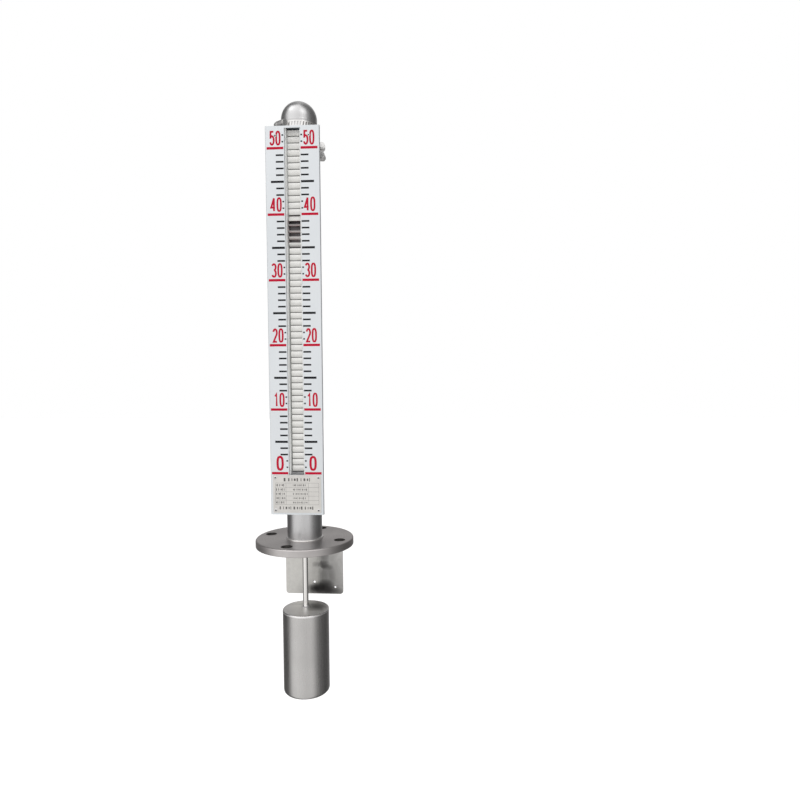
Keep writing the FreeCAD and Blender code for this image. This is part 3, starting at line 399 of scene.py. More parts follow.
def make_lid_steel():
    """The float's lid, dull, with dark patches right of and behind the rod."""
    shader = brushed("lid_steel", (0.96, 0.955, 0.95), (0.80, 0.795, 0.79), 0.46, 300, (1, 1, 1), 45)
    x, y, _ = shader.axes()
    # Dark patches right of and behind the rod
    shader.overlay(shader.stain(LID_DARK_PATCHES, x, y, 3.0 * MM), (0.06, 0.058, 0.056))


def make_scale_silver():
    """Satin silver sheet under clear lacquer."""
    shader = Shader("scale_plate")
    shader.set(Metallic=0.6, Coat_Weight=0.35, Coat_Roughness=0.22)
    grain = shader.noise(700, 2, 0.6, (1, 1, 0.05))
    clouds = shader.noise(7, 3, 0.5, (2.2, 1, 0.6))
    shader.colour(shader.tones(clouds, (0.71, 0.742, 0.765), (0.64, 0.674, 0.70)))
    shader.rough(shader.spread(grain, 0.3, 0.42))
    shader.bump(grain, 0.006, 0.4)


def make_channel_metal():
    """Drawn aluminium, with painted shade darkening the groove's floor behind the flaps."""
    shader = brushed("channel", (0.74, 0.745, 0.75), (0.64, 0.645, 0.65), 0.34, 900, (1, 1, 0.02))
    window_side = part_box("window")[1].x
    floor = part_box("bottom_end_plug")[1].y
    x, y, _ = shader.axes()
    inside = shader.math("LESS_THAN", shader.math("ABSOLUTE", x, 0.0), window_side - 0.5 * MM)
    away = shader.math("ABSOLUTE", shader.math("SUBTRACT", y, floor), 0.0)
    groove_shade = shader.math("MULTIPLY", inside, shader.math("LESS_THAN", away, 1.5 * MM))
    # Painted shade on the groove's floor behind the flaps.
    shader.overlay(groove_shade, (0.10, 0.095, 0.097))


def make_nameplate_metal():
    """Brushed sheet, warmer than the scale."""
    shader = Shader("nameplate")
    shader.set(Metallic=0.75)
    grain = shader.noise(800, 2, 0.6, (0.05, 1, 1))
    clouds = shader.noise(30, 3)
    shader.colour(shader.tones(clouds, (0.70, 0.69, 0.66), (0.60, 0.59, 0.57)))
    shader.rough(shader.spread(grain, 0.38, 0.5))
    shader.bump(grain, 0.008, 0.4)


def make_ink(name, colour, worn):
    """Screen-printed ink, a little uneven."""
    shader = Shader(name)
    shader.set(Specular_IOR_Level=0.2)
    speckle = shader.noise(500, 3)
    shader.colour(shader.tones(speckle, colour, worn))
    shader.rough(shader.spread(speckle, 0.38, 0.55))
    shader.bump(speckle, 0.01, 0.3)


def flap_grime(shader, upward):
    """Painted shade along a flap's foot, in its corners and, low on the scale, along its left end."""
    x, _, z = shader.axes()
    end = shader.spread(shader.math("ABSOLUTE", x, 0.0), 0.0, 0.6, 9.2 * MM, 11.3 * MM)
    corner = shader.math("MULTIPLY", end, shader.spread(upward, 1.0, 0.0, 0.02, 0.22))
    painted_shade = shader.math("MAXIMUM", shader.spread(upward, 0.7, 0.0, 0.0, 0.1), corner)
    left_end = shader.spread(x, 0.8, 0.0, -9.4 * MM, -8.8 * MM)
    lower_part = shader.spread(z, 1.0, 0.1, 460 * MM, 600 * MM)
    return shader.math("MAXIMUM", painted_shade, shader.math("MULTIPLY", left_end, lower_part))


def make_enamel(name, turn):
    """White on a flap's face and red on its back, with painted shade: darker towards its foot and in its
    gaps, and grey on its edges. It rests at a turn in degrees.
    """
    shader = Shader(name)
    shader.set(Coat_Weight=0.25, Coat_Roughness=0.2)
    dust = shader.noise(90, 4, 0.6, (0.6, 1, 1.6))
    white = shader.tones(dust, (0.97, 0.97, 0.95), (0.93, 0.925, 0.90))
    red = shader.tones(dust, (0.56, 0.012, 0.016), (0.46, 0.014, 0.018))
    from_foot = shader.math("SUBTRACT", shader.axes()[2], FLAP_FOOT * MM)
    upward = shader.math("FRACT", shader.math("DIVIDE", from_foot, MARK_SPACING * MM), 0.0)
    # Painted shade: each flap grows darker from its top towards its foot.
    white = shader.mix(shader.spread(upward, 1.0, 0.0, 0.0, 0.92), white, (0.60, 0.598, 0.575))
    # Painted shade along each flap's foot, in its corners and at its left end, where the gaps between flaps
    # fall in shade.
    white = shader.mix(flap_grime(shader, upward), white, (0.10, 0.11, 0.10))
    facing = shader.node("ShaderNodeVectorMath", operation="DOT_PRODUCT")
    angle = math.radians(turn)
    facing.inputs[1].default_value = (0, math.cos(angle), math.sin(angle))
    shader.join(shader.normal, facing.inputs[0])
    back = shader.spread(facing.outputs["Value"], 0.0, 1.0, 0.2, 0.3)
    shader.colour(shader.mix(back, white, red))
    # Painted shade: the flap's thin edges are grey.
    edge = shader.spread(shader.math("ABSOLUTE", facing.outputs["Value"], 0.0), 1.0, 0.0, 0.25, 0.5)
    shader.overlay(edge, (0.26, 0.25, 0.25))
    shader.rough(shader.spread(dust, 0.32, 0.5))
    shader.bump(shader.noise(700, 2), 0.008, 0.3)


def make_glass():
    """A thin clear strip: mostly see-through, with a soft gloss."""
    shader = Shader("window")
    shader.set(Base_Color=(0.03, 0.035, 0.035), Alpha=0.025, IOR=1.45)
    smudge = shader.noise(18, 4)
    shader.rough(shader.spread(smudge, 0.06, 0.16))
    shader.material.blend_method = "BLEND"


def make_weld():
    """Bright bead, a little yellowed by heat."""
    shader = Shader("weld")
    shader.set(Metallic=1.0)
    tint = shader.noise(70, 4, 0.6)
    shader.colour(shader.tones(tint, (0.96, 0.96, 0.95), (0.80, 0.785, 0.76)))
    shader.rough(shader.spread(tint, 0.28, 0.4))
    shader.bump(shader.noise(500, 3), 0.03, 0.5)


def make_materials():
    """One material for each finish of the record, and those of the dressing."""
    brushed("stainless", (0.655, 0.66, 0.665), (0.575, 0.578, 0.582), 0.31, 700, (1, 1, 0.04), 9, 0.005)
    make_flange_steel()
    make_weld()
    turned("bush_brass", (0.70, 0.56, 0.30), (0.55, 0.42, 0.22), 0.3, 1200)
    brushed("nut_steel", (0.60, 0.60, 0.60), (0.48, 0.48, 0.48), 0.26, 500, (1, 1, 1))
    make_bracket_steel()
    make_channel_metal()
    make_glass()
    plastic("rail", (0.88, 0.89, 0.88), (0.78, 0.79, 0.78), 0.5)
    plastic("plug_black", (0.012, 0.02, 0.03), (0.02, 0.03, 0.04), 0.4)
    plastic("plug_grey", (0.24, 0.24, 0.245), (0.34, 0.34, 0.345), 0.5)
    make_scale_silver()
    make_nameplate_metal()
    make_enamel("flap", 0)
    for mark, turn in TURNED_FLAPS.items():
        make_enamel(f"flap_at_{mark}", turn)
    brushed("rivet", (0.78, 0.78, 0.78), (0.66, 0.66, 0.66), 0.25, 600, (1, 1, 1))
    brushed("screw", (0.88, 0.88, 0.875), (0.70, 0.70, 0.69), 0.26, 600, (1, 1, 1))
    brushed("clamp", (0.92, 0.915, 0.905), (0.80, 0.795, 0.785), 0.3, 800, (0.3, 0.3, 1))
    brushed("saddle", (0.66, 0.66, 0.66), (0.56, 0.56, 0.56), 0.36, 500, (1, 1, 0.1))
    brushed("float_steel", (0.60, 0.595, 0.585), (0.52, 0.515, 0.505), 0.3, 800, (1, 1, 0.03), 12)
    make_lid_steel()
    plastic("carrier", (0.80, 0.80, 0.77), (0.72, 0.72, 0.69), 0.45)
    plastic("magnet", (0.035, 0.035, 0.04), (0.06, 0.06, 0.065), 0.5)
    make_ink("ink_red", (0.50, 0.0, 0.022), (0.42, 0.002, 0.028))
    make_ink("ink_black", (0.006, 0.006, 0.008), (0.016, 0.016, 0.019))
    make_ink("ink_grey", (0.07, 0.068, 0.066), (0.13, 0.127, 0.124))
    brushed("rod_steel", (0.93, 0.92, 0.90), (0.84, 0.83, 0.81), 0.09, 900, (1, 1, 0.03), 9, 0.001)
    # Polished steel of the float's rim and the rod's foot weld, its brightness partly a painted highlight
    brushed("bright_steel_and_highlight", (0.92, 0.915, 0.91), (0.80, 0.795, 0.79), 0.2, 700, (1, 1, 1))
    # Painted shade seen through the bands' slots
    brushed("painted_slot_shade", (0.36, 0.355, 0.35), (0.26, 0.255, 0.25), 0.4, 600, (1, 1, 1))
    # Painted shade in the hollow middles of small fasteners
    plastic("rivet_core", (0.02, 0.02, 0.02), (0.05, 0.05, 0.05), 0.5)


# Meshes
def smooth(mesh):
    """Soft shading, with edges kept sharp where faces meet steeply."""
    mesh.shade_smooth()
    mesh.set_sharp_from_angle(angle=SMOOTH_ANGLE)


def new_piece(name, vertices, faces, material, body="gauge", slot=None, replaced=()):
    """A mesh of points in millimetres, dressed and riding on a body."""
    mesh = bpy.data.meshes.new(name)
    mesh.from_pydata([[value * MM for value in point] for point in vertices], [], faces)
    mesh.validate()
    mesh.update()
    piece = bpy.data.objects.new(name, mesh)
    bpy.context.scene.collection.objects.link(piece)
    mesh.materials.append(MATERIALS[material])
    smooth(mesh)
    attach(piece, body)
    if replaced:
        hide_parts(*replaced)
    return piece


def apply_modifiers(piece):
    """Replace the mesh by its modified form."""
    bpy.context.view_layer.update()
    evaluated = piece.evaluated_get(bpy.context.evaluated_depsgraph_get())
    mesh = bpy.data.meshes.new_from_object(evaluated)
    piece.modifiers.clear()
    piece.data = mesh
    smooth(mesh)


def turned_faces(steps, count):
    """Faces between neighbouring copies of a closed profile of count points."""
    faces = []
    for step in range(steps):
        here, following = step * count, (step + 1) % steps * count
        for index in range(count):
            after = (index + 1) % count
            faces.append((here + index, following + index, following + after, here + after))
    return faces


def lathe(name, profile, material, segments=160, wobble=None, **options):
    """A closed profile of (radius, height) pairs, turned round the Z axis."""
    vertices = []
    for step in range(segments):
        turn = 2 * math.pi * step / segments
        for index, (radius, height) in enumerate(profile):
            if wobble:
                radius, height = wobble(turn, index, radius, height)
            vertices.append((radius * math.cos(turn), radius * math.sin(turn), height))
    faces = turned_faces(segments, len(profile))
    tidy_normals(new_piece(name, vertices, faces, material, **options))


def tidy_normals(piece):
    """Merge doubled points, such as those on the axis, and turn every face outwards."""
    work = bmesh.new()
    work.from_mesh(piece.data)
    bmesh.ops.remove_doubles(work, verts=work.verts, dist=1e-7)
    bmesh.ops.recalc_face_normals(work, faces=work.faces)
    work.to_mesh(piece.data)
    work.free()
    smooth(piece.data)


def arc(centre, radius, start, end, steps):
    """Points on an arc of a profile, in degrees. The radius may be a pair for an ellipse."""
    across, up = radius if isinstance(radius, tuple) else (radius, radius)
    turns = [math.radians(start + (end - start) * step / steps) for step in range(steps + 1)]
    return [(centre[0] + across * math.cos(turn), centre[1] + up * math.sin(turn)) for turn in turns]


def block(low, high):
    """Eight corners and six faces of a box."""
    corners = [(x, y, z) for x in (low[0], high[0]) for y in (low[1], high[1]) for z in (low[2], high[2])]
    faces = [(0, 1, 3, 2), (4, 6, 7, 5), (0, 4, 5, 1), (2, 3, 7, 6), (0, 2, 6, 4), (1, 5, 7, 3)]
    return corners, faces


def joined(parts):
    """One list of points and faces from several."""
    vertices, faces = [], []
    for points, sides in parts:
        start = len(vertices)
        vertices += points
        faces += [tuple(start + index for index in side) for side in sides]
    return vertices, faces


# Printing
def ribbon(path, width, front, thickness, closed=False):
    """A flat stroke of constant width along a path of (x, z) points, standing out from a front plane."""
    count = len(path)
    sides = []
    for index, point in enumerate(path):
        before = path[(index - 1) % count] if closed or index else point
        after = path[(index + 1) % count] if closed or index < count - 1 else point
        first = Vector(point) - Vector(before)
        second = Vector(after) - Vector(point)
        first = first.normalized() if first.length > 1e-9 else second.normalized()
        second = second.normalized() if second.length > 1e-9 else first
        middle = (first + second).normalized()
        normal = Vector((-middle.y, middle.x))
        reach = width / 2 / max(0.5, normal.dot(Vector((-first.y, first.x))))
        sides.append((Vector(point) + normal * reach, Vector(point) - normal * reach))
    vertices = []
    for left, right in sides:
        for side in (left, right):
            vertices.append((side.x, front, side.y))
            vertices.append((side.x, front - thickness, side.y))
    faces = []
    spans = count if closed else count - 1
    for index in range(spans):
        a, b = 4 * index, 4 * ((index + 1) % count)
        faces += [(a + 1, b + 1, b + 3, a + 3), (a, a + 2, b + 2, b), (a, b, b + 1, a + 1),
                  (a + 2, a + 3, b + 3, b + 2)]
    if not closed:
        last = 4 * (count - 1)
        faces += [(0, 1, 3, 2), (last, last + 2, last + 3, last + 1)]
    return vertices, faces


def digit_strokes(digit):
    """Centre lines of a digit from 0 to 5 in a cell one wide and one high, each with whether it closes."""
    if digit == "0":
        ring, steps, power = [], 40, 2 / 2.7
        for step in range(steps):
            turn = 2 * math.pi * step / steps
            across, up = math.cos(turn), math.sin(turn)
            ring.append((0.5 + 0.5 * math.copysign(abs(across) ** power, across),
                         0.5 + 0.5 * math.copysign(abs(up) ** power, up)))
        return [(ring, True)]
    if digit == "1":
        return [([(0.2, 0.78), (0.62, 1.0), (0.62, 0.0)], False)]
    if digit == "2":
        return [(arc((0.5, 0.72), (0.5, 0.28), 165, -28, 14) + [(0.03, 0.0), (1.0, 0.0)], False)]
    if digit == "3":
        upper = arc((0.47, 0.76), (0.5, 0.24), 155, -90, 14)
        lower = arc((0.47, 0.26), (0.53, 0.26), 90, -155, 16)
        return [(upper, False), (lower, False)]
    if digit == "4":
        return [([(0.74, 0.0), (0.74, 1.0)], False), ([(0.74, 1.0), (0.0, 0.27), (1.0, 0.27)], False)]
    bowl = arc((0.46, 0.33), (0.54, 0.33), 140, -155, 18)
    return [([(0.94, 1.0), (0.12, 1.0), (0.07, 0.47)], False), (bowl, False)]


def numeral(number, middle, base):
    """The strokes of a number, centred on middle and standing on base."""
    digits = str(number)
    widths = [FOUR_WIDTH if digit == "4" else NUMERAL_WIDTH for digit in digits]
    height, stroke = NUMERAL_HEIGHT, NUMERAL_STROKE
    if len(digits) == 1:
        widths = [LONE_DIGIT_WIDTH]
        height += LONE_DIGIT_RISE
        stroke = LONE_DIGIT_STROKE
    start = middle - (sum(widths) + NUMERAL_GAP * (len(digits) - 1)) / 2
    parts = []
    for digit, width in zip(digits, widths):
        left = start + stroke / 2
        start += width + NUMERAL_GAP
        inner_width, inner_height = width - stroke, height - stroke
        for layer, (path, closed) in enumerate(digit_strokes(digit)):
            points = [(left + x * inner_width, base + stroke / 2 + z * inner_height) for x, z in path]
            thickness = INK_THICKNESS * (1 + OVERLAP_LIFT * layer)
            parts.append(ribbon(points, stroke, PLATE_LOW.y, thickness, closed))
    return parts


def ink_bar(start, end, middle, height, front):
    """A printed bar between two places across, centred on a height."""
    low = (min(start, end), front - INK_THICKNESS, middle - height / 2)
    return block(low, (max(start, end), front, middle + height / 2))


def mark_bar(mark):
    """The length, height and lift of the bar beside a mark. The numerals leave room for two dots."""
    if mark % 10 == 0:
        return TEN_LENGTH, TEN_HEIGHT, TEN_RISE
    if mark % 10 in (1, 2):
        return DOT_LENGTH, DOT_HEIGHT, 0
    if mark % 5 == 0:
        return HALF_LENGTH, HALF_HEIGHT, 0
    return TICK_LENGTH, TICK_HEIGHT, 0


def make_printing():
    """Marks beside the slot on both sides: red lines and numerals at the tens, black ticks between."""
    black, red, numerals = [], [], []
    for mark in range(SCALE_MARKS + MARKS_ABOVE_SCALE + 1):
        place = ZERO_HEIGHT + mark * MARK_SPACING
        length, height, rise = mark_bar(mark)
        for side in (-1, 1):
            start = PRINT_MIDDLE + side * MARK_INNER_END
            bar = ink_bar(start, start + side * length, place + rise, height, PLATE_LOW.y)
            (black if mark % 10 else red).append(bar)
            if mark % 10 == 0:
                numerals += numeral(mark, PRINT_MIDDLE + side * NUMERAL_MIDDLE, place + NUMERAL_BASE)
    for name, parts, ink in (("scale_ticks", black, "ink_black"), ("scale_red_lines", red, "ink_red"),
                             ("scale_numerals", numerals, "ink_red")):
        new_piece(name, *joined(parts), ink, slot="scale_plate")


def dashes(row, origin, middle, turn, longer=0):
    """Upright dashes of uneven width and height, like print too small to read. A turn varies them."""
    start, end, height, scale = row
    parts = []
    place, step = origin + start, turn
    while place < origin + end + longer:
        width = (0.5 + 0.35 * (step * 5 % 3)) * scale
        tall = height * (0.7 + 0.1 * (step * 7 % 4))
        parts.append(ink_bar(place, place + width, middle, tall, NAMEPLATE_LOW.y))
        place += width + (0.7 + 0.4 * (step * 3 % 4)) * scale
        step += 1
    return parts


def make_nameplate_print():
    """A ruled form with short dashes in its fields, and no words."""
    low, high = NAMEPLATE_LOW, NAMEPLATE_HIGH
    left, right = low.x + FORM_SIDE, high.x - FORM_SIDE
    top, bottom = high.z - FORM_HEAD, low.z + FORM_FOOT
    row_height = (top - bottom) / FORM_ROWS
    parts = []
    for row in range(FORM_ROWS + 1):
        parts.append(ink_bar(left, right, top - row * row_height, RULE_WIDTH, low.y))
    for across in (left, left + FIRST_COLUMN, right - LAST_COLUMN, right):
        side = across + RULE_WIDTH / 2
        parts.append(ink_bar(side - RULE_WIDTH, side, (top + bottom) / 2, top - bottom, low.y))
    for row in range(FORM_ROWS):
        middle = top - (row + 0.5) * row_height
        parts += dashes(LABEL_DASHES, left, middle, row)
        parts += dashes(VALUE_DASHES, left, middle, row + 3, row * 2 % 5)
    parts += dashes(TITLE_DASHES, 0, high.z - TITLE_DROP, 1)
    parts += dashes(FOOTER_DASHES, 0, low.z + FOOTER_RISE, 5)
    new_piece("nameplate_print", *joined(parts), "ink_grey", slot="nameplate")


# Pipe, flange, welds and float
def make_pipe():
    """A plain tube."""
    outer, inner = PIPE_HIGH.x, PIPE_HIGH.x - PIPE_WALL
    profile = [(inner, PIPE_LOW.z), (outer, PIPE_LOW.z), (outer, PIPE_HIGH.z), (inner, PIPE_HIGH.z)]
    lathe("pipe_tube", profile, "stainless", replaced=["standpipe"])


def make_cap():
    """A spun cap: a straight skirt under half a ball, with its seam ground almost flush."""
    outer = CAP_HIGH.x
    spring = CAP_HIGH.z - outer
    crown = arc((0, spring), outer, 0, 90, 30)
    inside = arc((0, spring), outer - PIPE_WALL, 90, 0, 20)
    profile = [(outer, CAP_LOW.z)] + crown + inside + [(outer - PIPE_WALL, CAP_LOW.z)]
    lathe("pipe_cap", profile, "stainless", replaced=["dome_cap"])


def bead(name, profile, ripples, ripple_depth, material, replaced):
    """A weld bead with the even ripples of a hand weld. The profile's first points are its face."""
    face = len(profile) - 2

    def wobble(turn, index, radius, height):
        if 0 < index < face:
            wave = (ripples * turn / (2 * math.pi)) % 1
            lift = ripple_depth * (1 - (2 * wave - 1) ** 2) + ripple_depth / 3 * math.sin(3 * turn + 1)
            return radius + lift, height
        return radius, height

    lathe(name, profile, material, segments=ripples * 6, wobble=wobble, slot="weld", replaced=replaced)


def make_welds():
    """A rippled fillet at the pipe's foot, and the cap's seam ground almost flush."""
    pipe, top = PIPE_HIGH.x, FLANGE_TOP
    leg, sink = 2.5, 0.2
    foot = arc((pipe - sink, top - sink), leg, 2, 88, 6)
    foot += [(pipe - 2 * sink, top + 2.0), (pipe - 2 * sink, top - 0.05)]
    bead("pipe_foot_bead", foot, 80, 0.12, "weld", ["tube_weld"])
    seam, half = CAP_LOW.z, 1.8
    skin, root, bulge = pipe - 0.1, pipe - 0.6, 7.5
    crown = arc((pipe - bulge, seam), bulge + 0.1, -12, 12, 6)
    face = [(skin, seam - half)] + crown + [(skin, seam + half), (root, seam + half), (root, seam - half)]
    bead("cap_seam_bead", face, 72, 0.05, "stainless", ["cap_weld"])


def make_float():
    """A rolled shell between pressed ends, with a bright rolled rim that is partly a painted highlight, and
    a small weld round the rod.
    """
    make_float_shell()
    make_float_lid()
    make_float_bottom()
    make_float_neck()


def make_float_shell():
    """The float's rolled wall."""
    outer, inner = SHELL_HIGH.x, SHELL_HIGH.x - FLOAT_WALL
    shell = [(inner, SHELL_LOW.z), (outer, SHELL_LOW.z), (outer, SHELL_HIGH.z), (inner, SHELL_HIGH.z)]
    lathe("float_tube", shell, "float_steel", body="float", replaced=["float_shell"])


def make_float_lid():
    """A shallow cone with a rounded edge, and the bright ring of its rolled rim, partly a painted
    highlight.
    """
    radius, top = SHELL_HIGH.x, TOP_HIGH.z - FLOAT_LID_RISE
    root = 1.6
    edge = arc((radius - RIM_ROUND, top - RIM_ROUND), RIM_ROUND, 60, 0, 6)
    cone = [(NECK_RADIUS, TOP_HIGH.z), (radius - 5, top + 0.45), (radius - 3, top + 0.1)]
    under = [(radius, TOP_LOW.z), (radius - FLOAT_WALL, TOP_LOW.z), (radius - FLOAT_WALL, top - root),
             (NECK_RADIUS, TOP_HIGH.z - FLOAT_WALL)]
    lathe("float_lid", cone + edge + under, "lid_steel", body="float", slot="float_steel",
          replaced=["float_top"])
    # The rim's bright ring is partly a painted highlight
    ring_round, proud = 1.42, 0.08
    ring = arc((radius - ring_round, top - ring_round), ring_round + proud, 80, 10, 8)
    lathe("float_rim", ring + [(radius - root, top - root)], "bright_steel_and_highlight", body="float", slot="float_steel")


def make_float_bottom():
    """A pressed cup with a round corner."""
    radius, base = SHELL_HIGH.x, BOTTOM_LOW.z
    centre = (radius - FLOAT_CORNER, base + FLOAT_CORNER)
    corner = arc(centre, FLOAT_CORNER, -90, 0, 10)
    inner = arc(centre, FLOAT_CORNER - FLOAT_WALL, 0, -90, 8)
    cup = [(0, base)] + corner + [(radius, BOTTOM_HIGH.z), (radius - FLOAT_WALL, BOTTOM_HIGH.z)] + inner
    lathe("float_cup", cup + [(0, base + FLOAT_WALL)], "float_steel", body="float",
          replaced=["float_bottom"])


def make_float_neck():
    """The boss round the rod, with a small fillet weld on it."""
    rod, crest = ROD_RADIUS, NECK_HIGH.z
    outer, corner, leg = min(NECK_RADIUS, NECK_HIGH.x), 0.6, 2.4
    neck = [(rod, NECK_LOW.z), (outer, NECK_LOW.z), (outer, crest - corner), (outer - corner, crest - 0.1),
            (rod + 1.2, crest), (rod, crest)]
    lathe("float_neck", neck, "lid_steel", body="float", slot="float_steel", replaced=["float_boss"])
    # The foot weld's bright steel is partly a painted highlight
    fillet = arc((rod + 2.0, crest + leg), (1.9, leg), 262, 188, 6)
    lathe("rod_foot_weld", fillet + [(rod - 0.3, crest + leg), (rod - 0.3, crest - 0.1)], "bright_steel_and_highlight",
          body="float", slot="weld")


def small_turned(profile, across, height, steps=24):
    """A closed profile of (radius, depth) pairs, turned round a line along Y at a place on the front."""
    vertices = []
    for step in range(steps):
        turn = 2 * math.pi * step / steps
        for radius, depth in profile:
            vertices.append((across + radius * math.cos(turn), depth, height + radius * math.sin(turn)))
    return vertices, turned_faces(steps, len(profile))


def make_fastener_cores():
    """Dark discs of painted shade in the hollow middles of the nameplate's blind rivets and in the scale
    screws' slots.
    """
    parts = []
    for node, radius, inset in FASTENER_SHADE_DISCS:
        low, high = box_mm(node)
        front, back = low.y, low.y + CORE_DEPTH
        profile = [(0.0, front - 0.05), (radius * 0.7, front - 0.02), (radius, front + 0.12),
                   (radius, back), (0.0, back)]
        heights = sorted({round(low.z + inset, 3), round(high.z - inset, 3)})
        for across in (low.x + inset, high.x - inset):
            parts += [small_turned(profile, across, height) for height in heights]
    tidy_normals(new_piece("fastener_shade_discs", *joined(parts), "rivet_core", slot="rivet"))


# Clamps
def band_face(middle):
    """A band's outer face, as a grid that leaves out a slanted slot at every second step round."""
    half = BAND_WIDTH / 2
    rows = (-half, -SLOT_HALF_HEIGHT, SLOT_HALF_HEIGHT, half)
    slot_row = 1
    steps, count = 2 * BAND_SLOTS, len(rows)
    vertices, faces = [], []
    for step in range(steps):
        for height in rows:
            share = (height + half) / BAND_WIDTH
            turn = 2 * math.pi * (step / steps + SLOT_LEAN * share / BAND_SLOTS)
            vertices.append((BAND_RADIUS * math.cos(turn), BAND_RADIUS * math.sin(turn), middle + height))
    for step in range(steps):
        here, following = step * count, (step + 1) % steps * count
        for row in range(count - 1):
            if row == slot_row and step % 2 == 0:
                continue
            faces.append((here + row, following + row, following + row + 1, here + row + 1))
    return vertices, faces


def make_bands():
    """Rolled bands with slanted slots all round for the worm, over a dark ring of painted shade behind the
    slots.
    """
    inner, outer = SLOT_SHADE_RADIUS, SLOT_SHADE_RADIUS + SLOT_SHADE_THICKNESS
    for index, middle in enumerate(CLAMP_HEIGHTS):
        low, high = middle - SLOT_SHADE_HALF_HEIGHT, middle + SLOT_SHADE_HALF_HEIGHT
        # A dark ring of painted shade behind this band's slots
        slot_shade_ring = [(inner, low), (outer, low), (outer, high), (inner, high)]
        lathe(f"band_painted_slot_shade_{index}", slot_shade_ring, "painted_slot_shade", slot="clamp")
    bands = joined([band_face(middle) for middle in CLAMP_HEIGHTS])
    piece = new_piece("slotted_bands", *bands, "clamp", replaced=["clamp_bands"])
    shell = piece.modifiers.new("shell", "SOLIDIFY")
    shell.thickness = BAND_THICKNESS * MM
    shell.offset = -1
    apply_modifiers(piece)


# Materials of the frame's own nodes
def dress_frame():
    """Give every shown node the material of its slot, and the rod and the turned flaps their own."""
    slots = {entry["node"]: entry["material_slot"] for entry in frame["record"]["subparts"]}
    slots["float_rod"] = "rod_steel"
    slots |= {f"flap_{mark}": f"flap_at_{mark}" for mark in TURNED_FLAPS}
    for name, node in NODES.items():
        node.data.materials.clear()
        node.data.materials.append(MATERIALS[slots[name]])


# Stage
def fill_ramp(ramp, stops, low, high, tint=(1, 1, 1)):
    """Set a colour ramp to grey levels at places between low and high."""
    elements = ramp.color_ramp.elements
    while len(elements) < len(stops):
        elements.new(0.5)
    for element, (place, level) in zip(elements, stops):
        element.position = (place - low) / (high - low)
        element.color = (level * tint[0], level * tint[1], level * tint[2], 1)


def make_room():
    """White to the camera. To the object, a bright wide front, dim sides and a softer back."""
    world = bpy.data.worlds.new("studio")
    bpy.context.scene.world = world
    world.use_nodes = True
    tree = world.node_tree

    def node(kind, **settings):
        made = tree.nodes.new(kind)
        for key, value in settings.items():
            setattr(made, key, value)
        return made

    def math_node(operation, first, second):
        made = node("ShaderNodeMath", operation=operation)
        for socket, value in zip(made.inputs, (first, second)):
            if isinstance(value, float):
                socket.default_value = value
            else:
                tree.links.new(value, socket)
        return made.outputs["Value"]

    coordinates = node("ShaderNodeTexCoord")
    split = node("ShaderNodeSeparateXYZ")
    tree.links.new(coordinates.outputs["Generated"], split.inputs["Vector"])
    forwards = math_node("MULTIPLY", split.outputs["Y"], -1.0)
    turn = math_node("ARCTAN2", split.outputs["X"], forwards)
    share = math_node("ADD", math_node("DIVIDE", turn, 2 * math.pi), 0.5)
    around = node("ShaderNodeValToRGB")
    fill_ramp(around, ROOM_ROUND, -180, 180, ROOM_TINT)
    tree.links.new(share, around.inputs["Fac"])
    lift = math_node("ADD", math_node("MULTIPLY", split.outputs["Z"], 0.5), 0.5)
    rise = node("ShaderNodeValToRGB")
    fill_ramp(rise, ROOM_RISE, -1, 1)
    tree.links.new(lift, rise.inputs["Fac"])

    room = node("ShaderNodeBackground")
    tree.links.new(around.outputs["Color"], room.inputs["Color"])
    tree.links.new(rise.outputs["Color"], room.inputs["Strength"])
    paper = tree.nodes["Background"]
    paper.inputs["Color"].default_value = (1, 1, 1, 1)
    paper.inputs["Strength"].default_value = 1.0
    path, mix = node("ShaderNodeLightPath"), node("ShaderNodeMixShader")
    tree.links.new(path.outputs["Is Camera Ray"], mix.inputs["Fac"])
    tree.links.new(room.outputs["Background"], mix.inputs[1])
    tree.links.new(paper.outputs["Background"], mix.inputs[2])
    tree.links.new(mix.outputs["Shader"], tree.nodes["World Output"].inputs["Surface"])


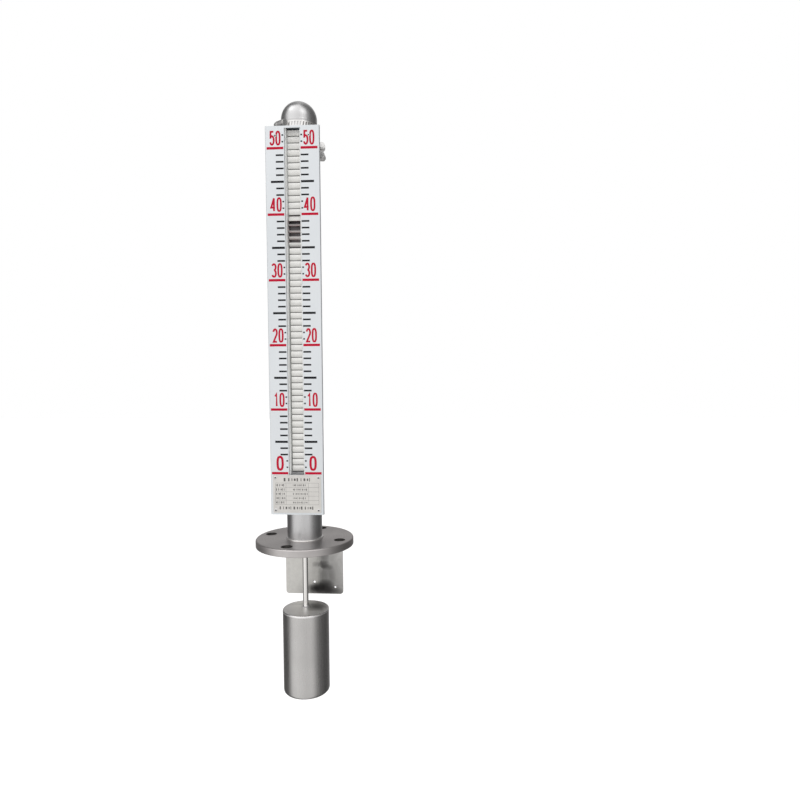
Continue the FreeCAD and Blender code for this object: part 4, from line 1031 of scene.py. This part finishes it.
def make_floor():
    """A pale floor below the float's lowest place, that lights and mirrors nothing."""
    mesh = bpy.data.meshes.new("floor")
    signs = ((-1, -1), (1, -1), (1, 1), (-1, 1))
    corners = [(x * FLOOR_SIZE, y * FLOOR_SIZE, FLOOR_HEIGHT) for x, y in signs]
    mesh.from_pydata(corners, [], [(0, 1, 2, 3)])
    floor = bpy.data.objects.new("floor", mesh)
    bpy.context.scene.collection.objects.link(floor)
    shader = Shader("floor")
    shader.set(Base_Color=(0.85, 0.85, 0.85), Roughness=0.9)
    shader.set(Emission_Color=(1, 1, 1), Emission_Strength=0.62)
    mesh.materials.append(shader.material)
    floor.visible_glossy = False
    floor.visible_diffuse = False
    floor.visible_shadow = False


def make_stage():
    """The floor, the bright room, and soft lamps. The fill in front gives no mirror image."""
    bpy.context.scene.view_settings.view_transform = "Standard"
    make_floor()
    make_room()
    lamps = {name: add_lamp(name, *values) for name, values in LAMPS.items()}
    lamps["front_fill"].visible_glossy = False


def add_lamp(name, at, towards, size, power):
    """A square area lamp."""
    light = bpy.data.lights.new(name, "AREA")
    light.size = size
    light.energy = power
    lamp = bpy.data.objects.new(name, light)
    lamp.location = at
    lamp.rotation_euler = (Vector(towards) - Vector(at)).to_track_quat("-Z", "Y").to_euler()
    bpy.context.scene.collection.objects.link(lamp)
    return lamp


def make_camera():
    """The fitted camera."""
    data = bpy.data.cameras.new("camera")
    data.sensor_fit = "HORIZONTAL"
    data.sensor_width = SENSOR_WIDTH
    data.lens = FOCAL_PIXELS * SENSOR_WIDTH / FRAME_PIXELS
    data.clip_end = FAR_CLIP
    camera = bpy.data.objects.new("camera", data)
    right, up = Vector(CAMERA_RIGHT).normalized(), Vector(CAMERA_UP).normalized()
    back = right.cross(up)
    turn = Matrix((right, up, back)).transposed()
    camera.matrix_world = Matrix.Translation(CAMERA_AT) @ turn.to_4x4()
    bpy.context.scene.collection.objects.link(camera)
    bpy.context.scene.camera = camera


make_materials()
dress_frame()
make_printing()
make_nameplate_print()
make_pipe()
make_cap()
make_welds()
make_float()
make_fastener_cores()
make_bands()
make_stage()
make_camera()
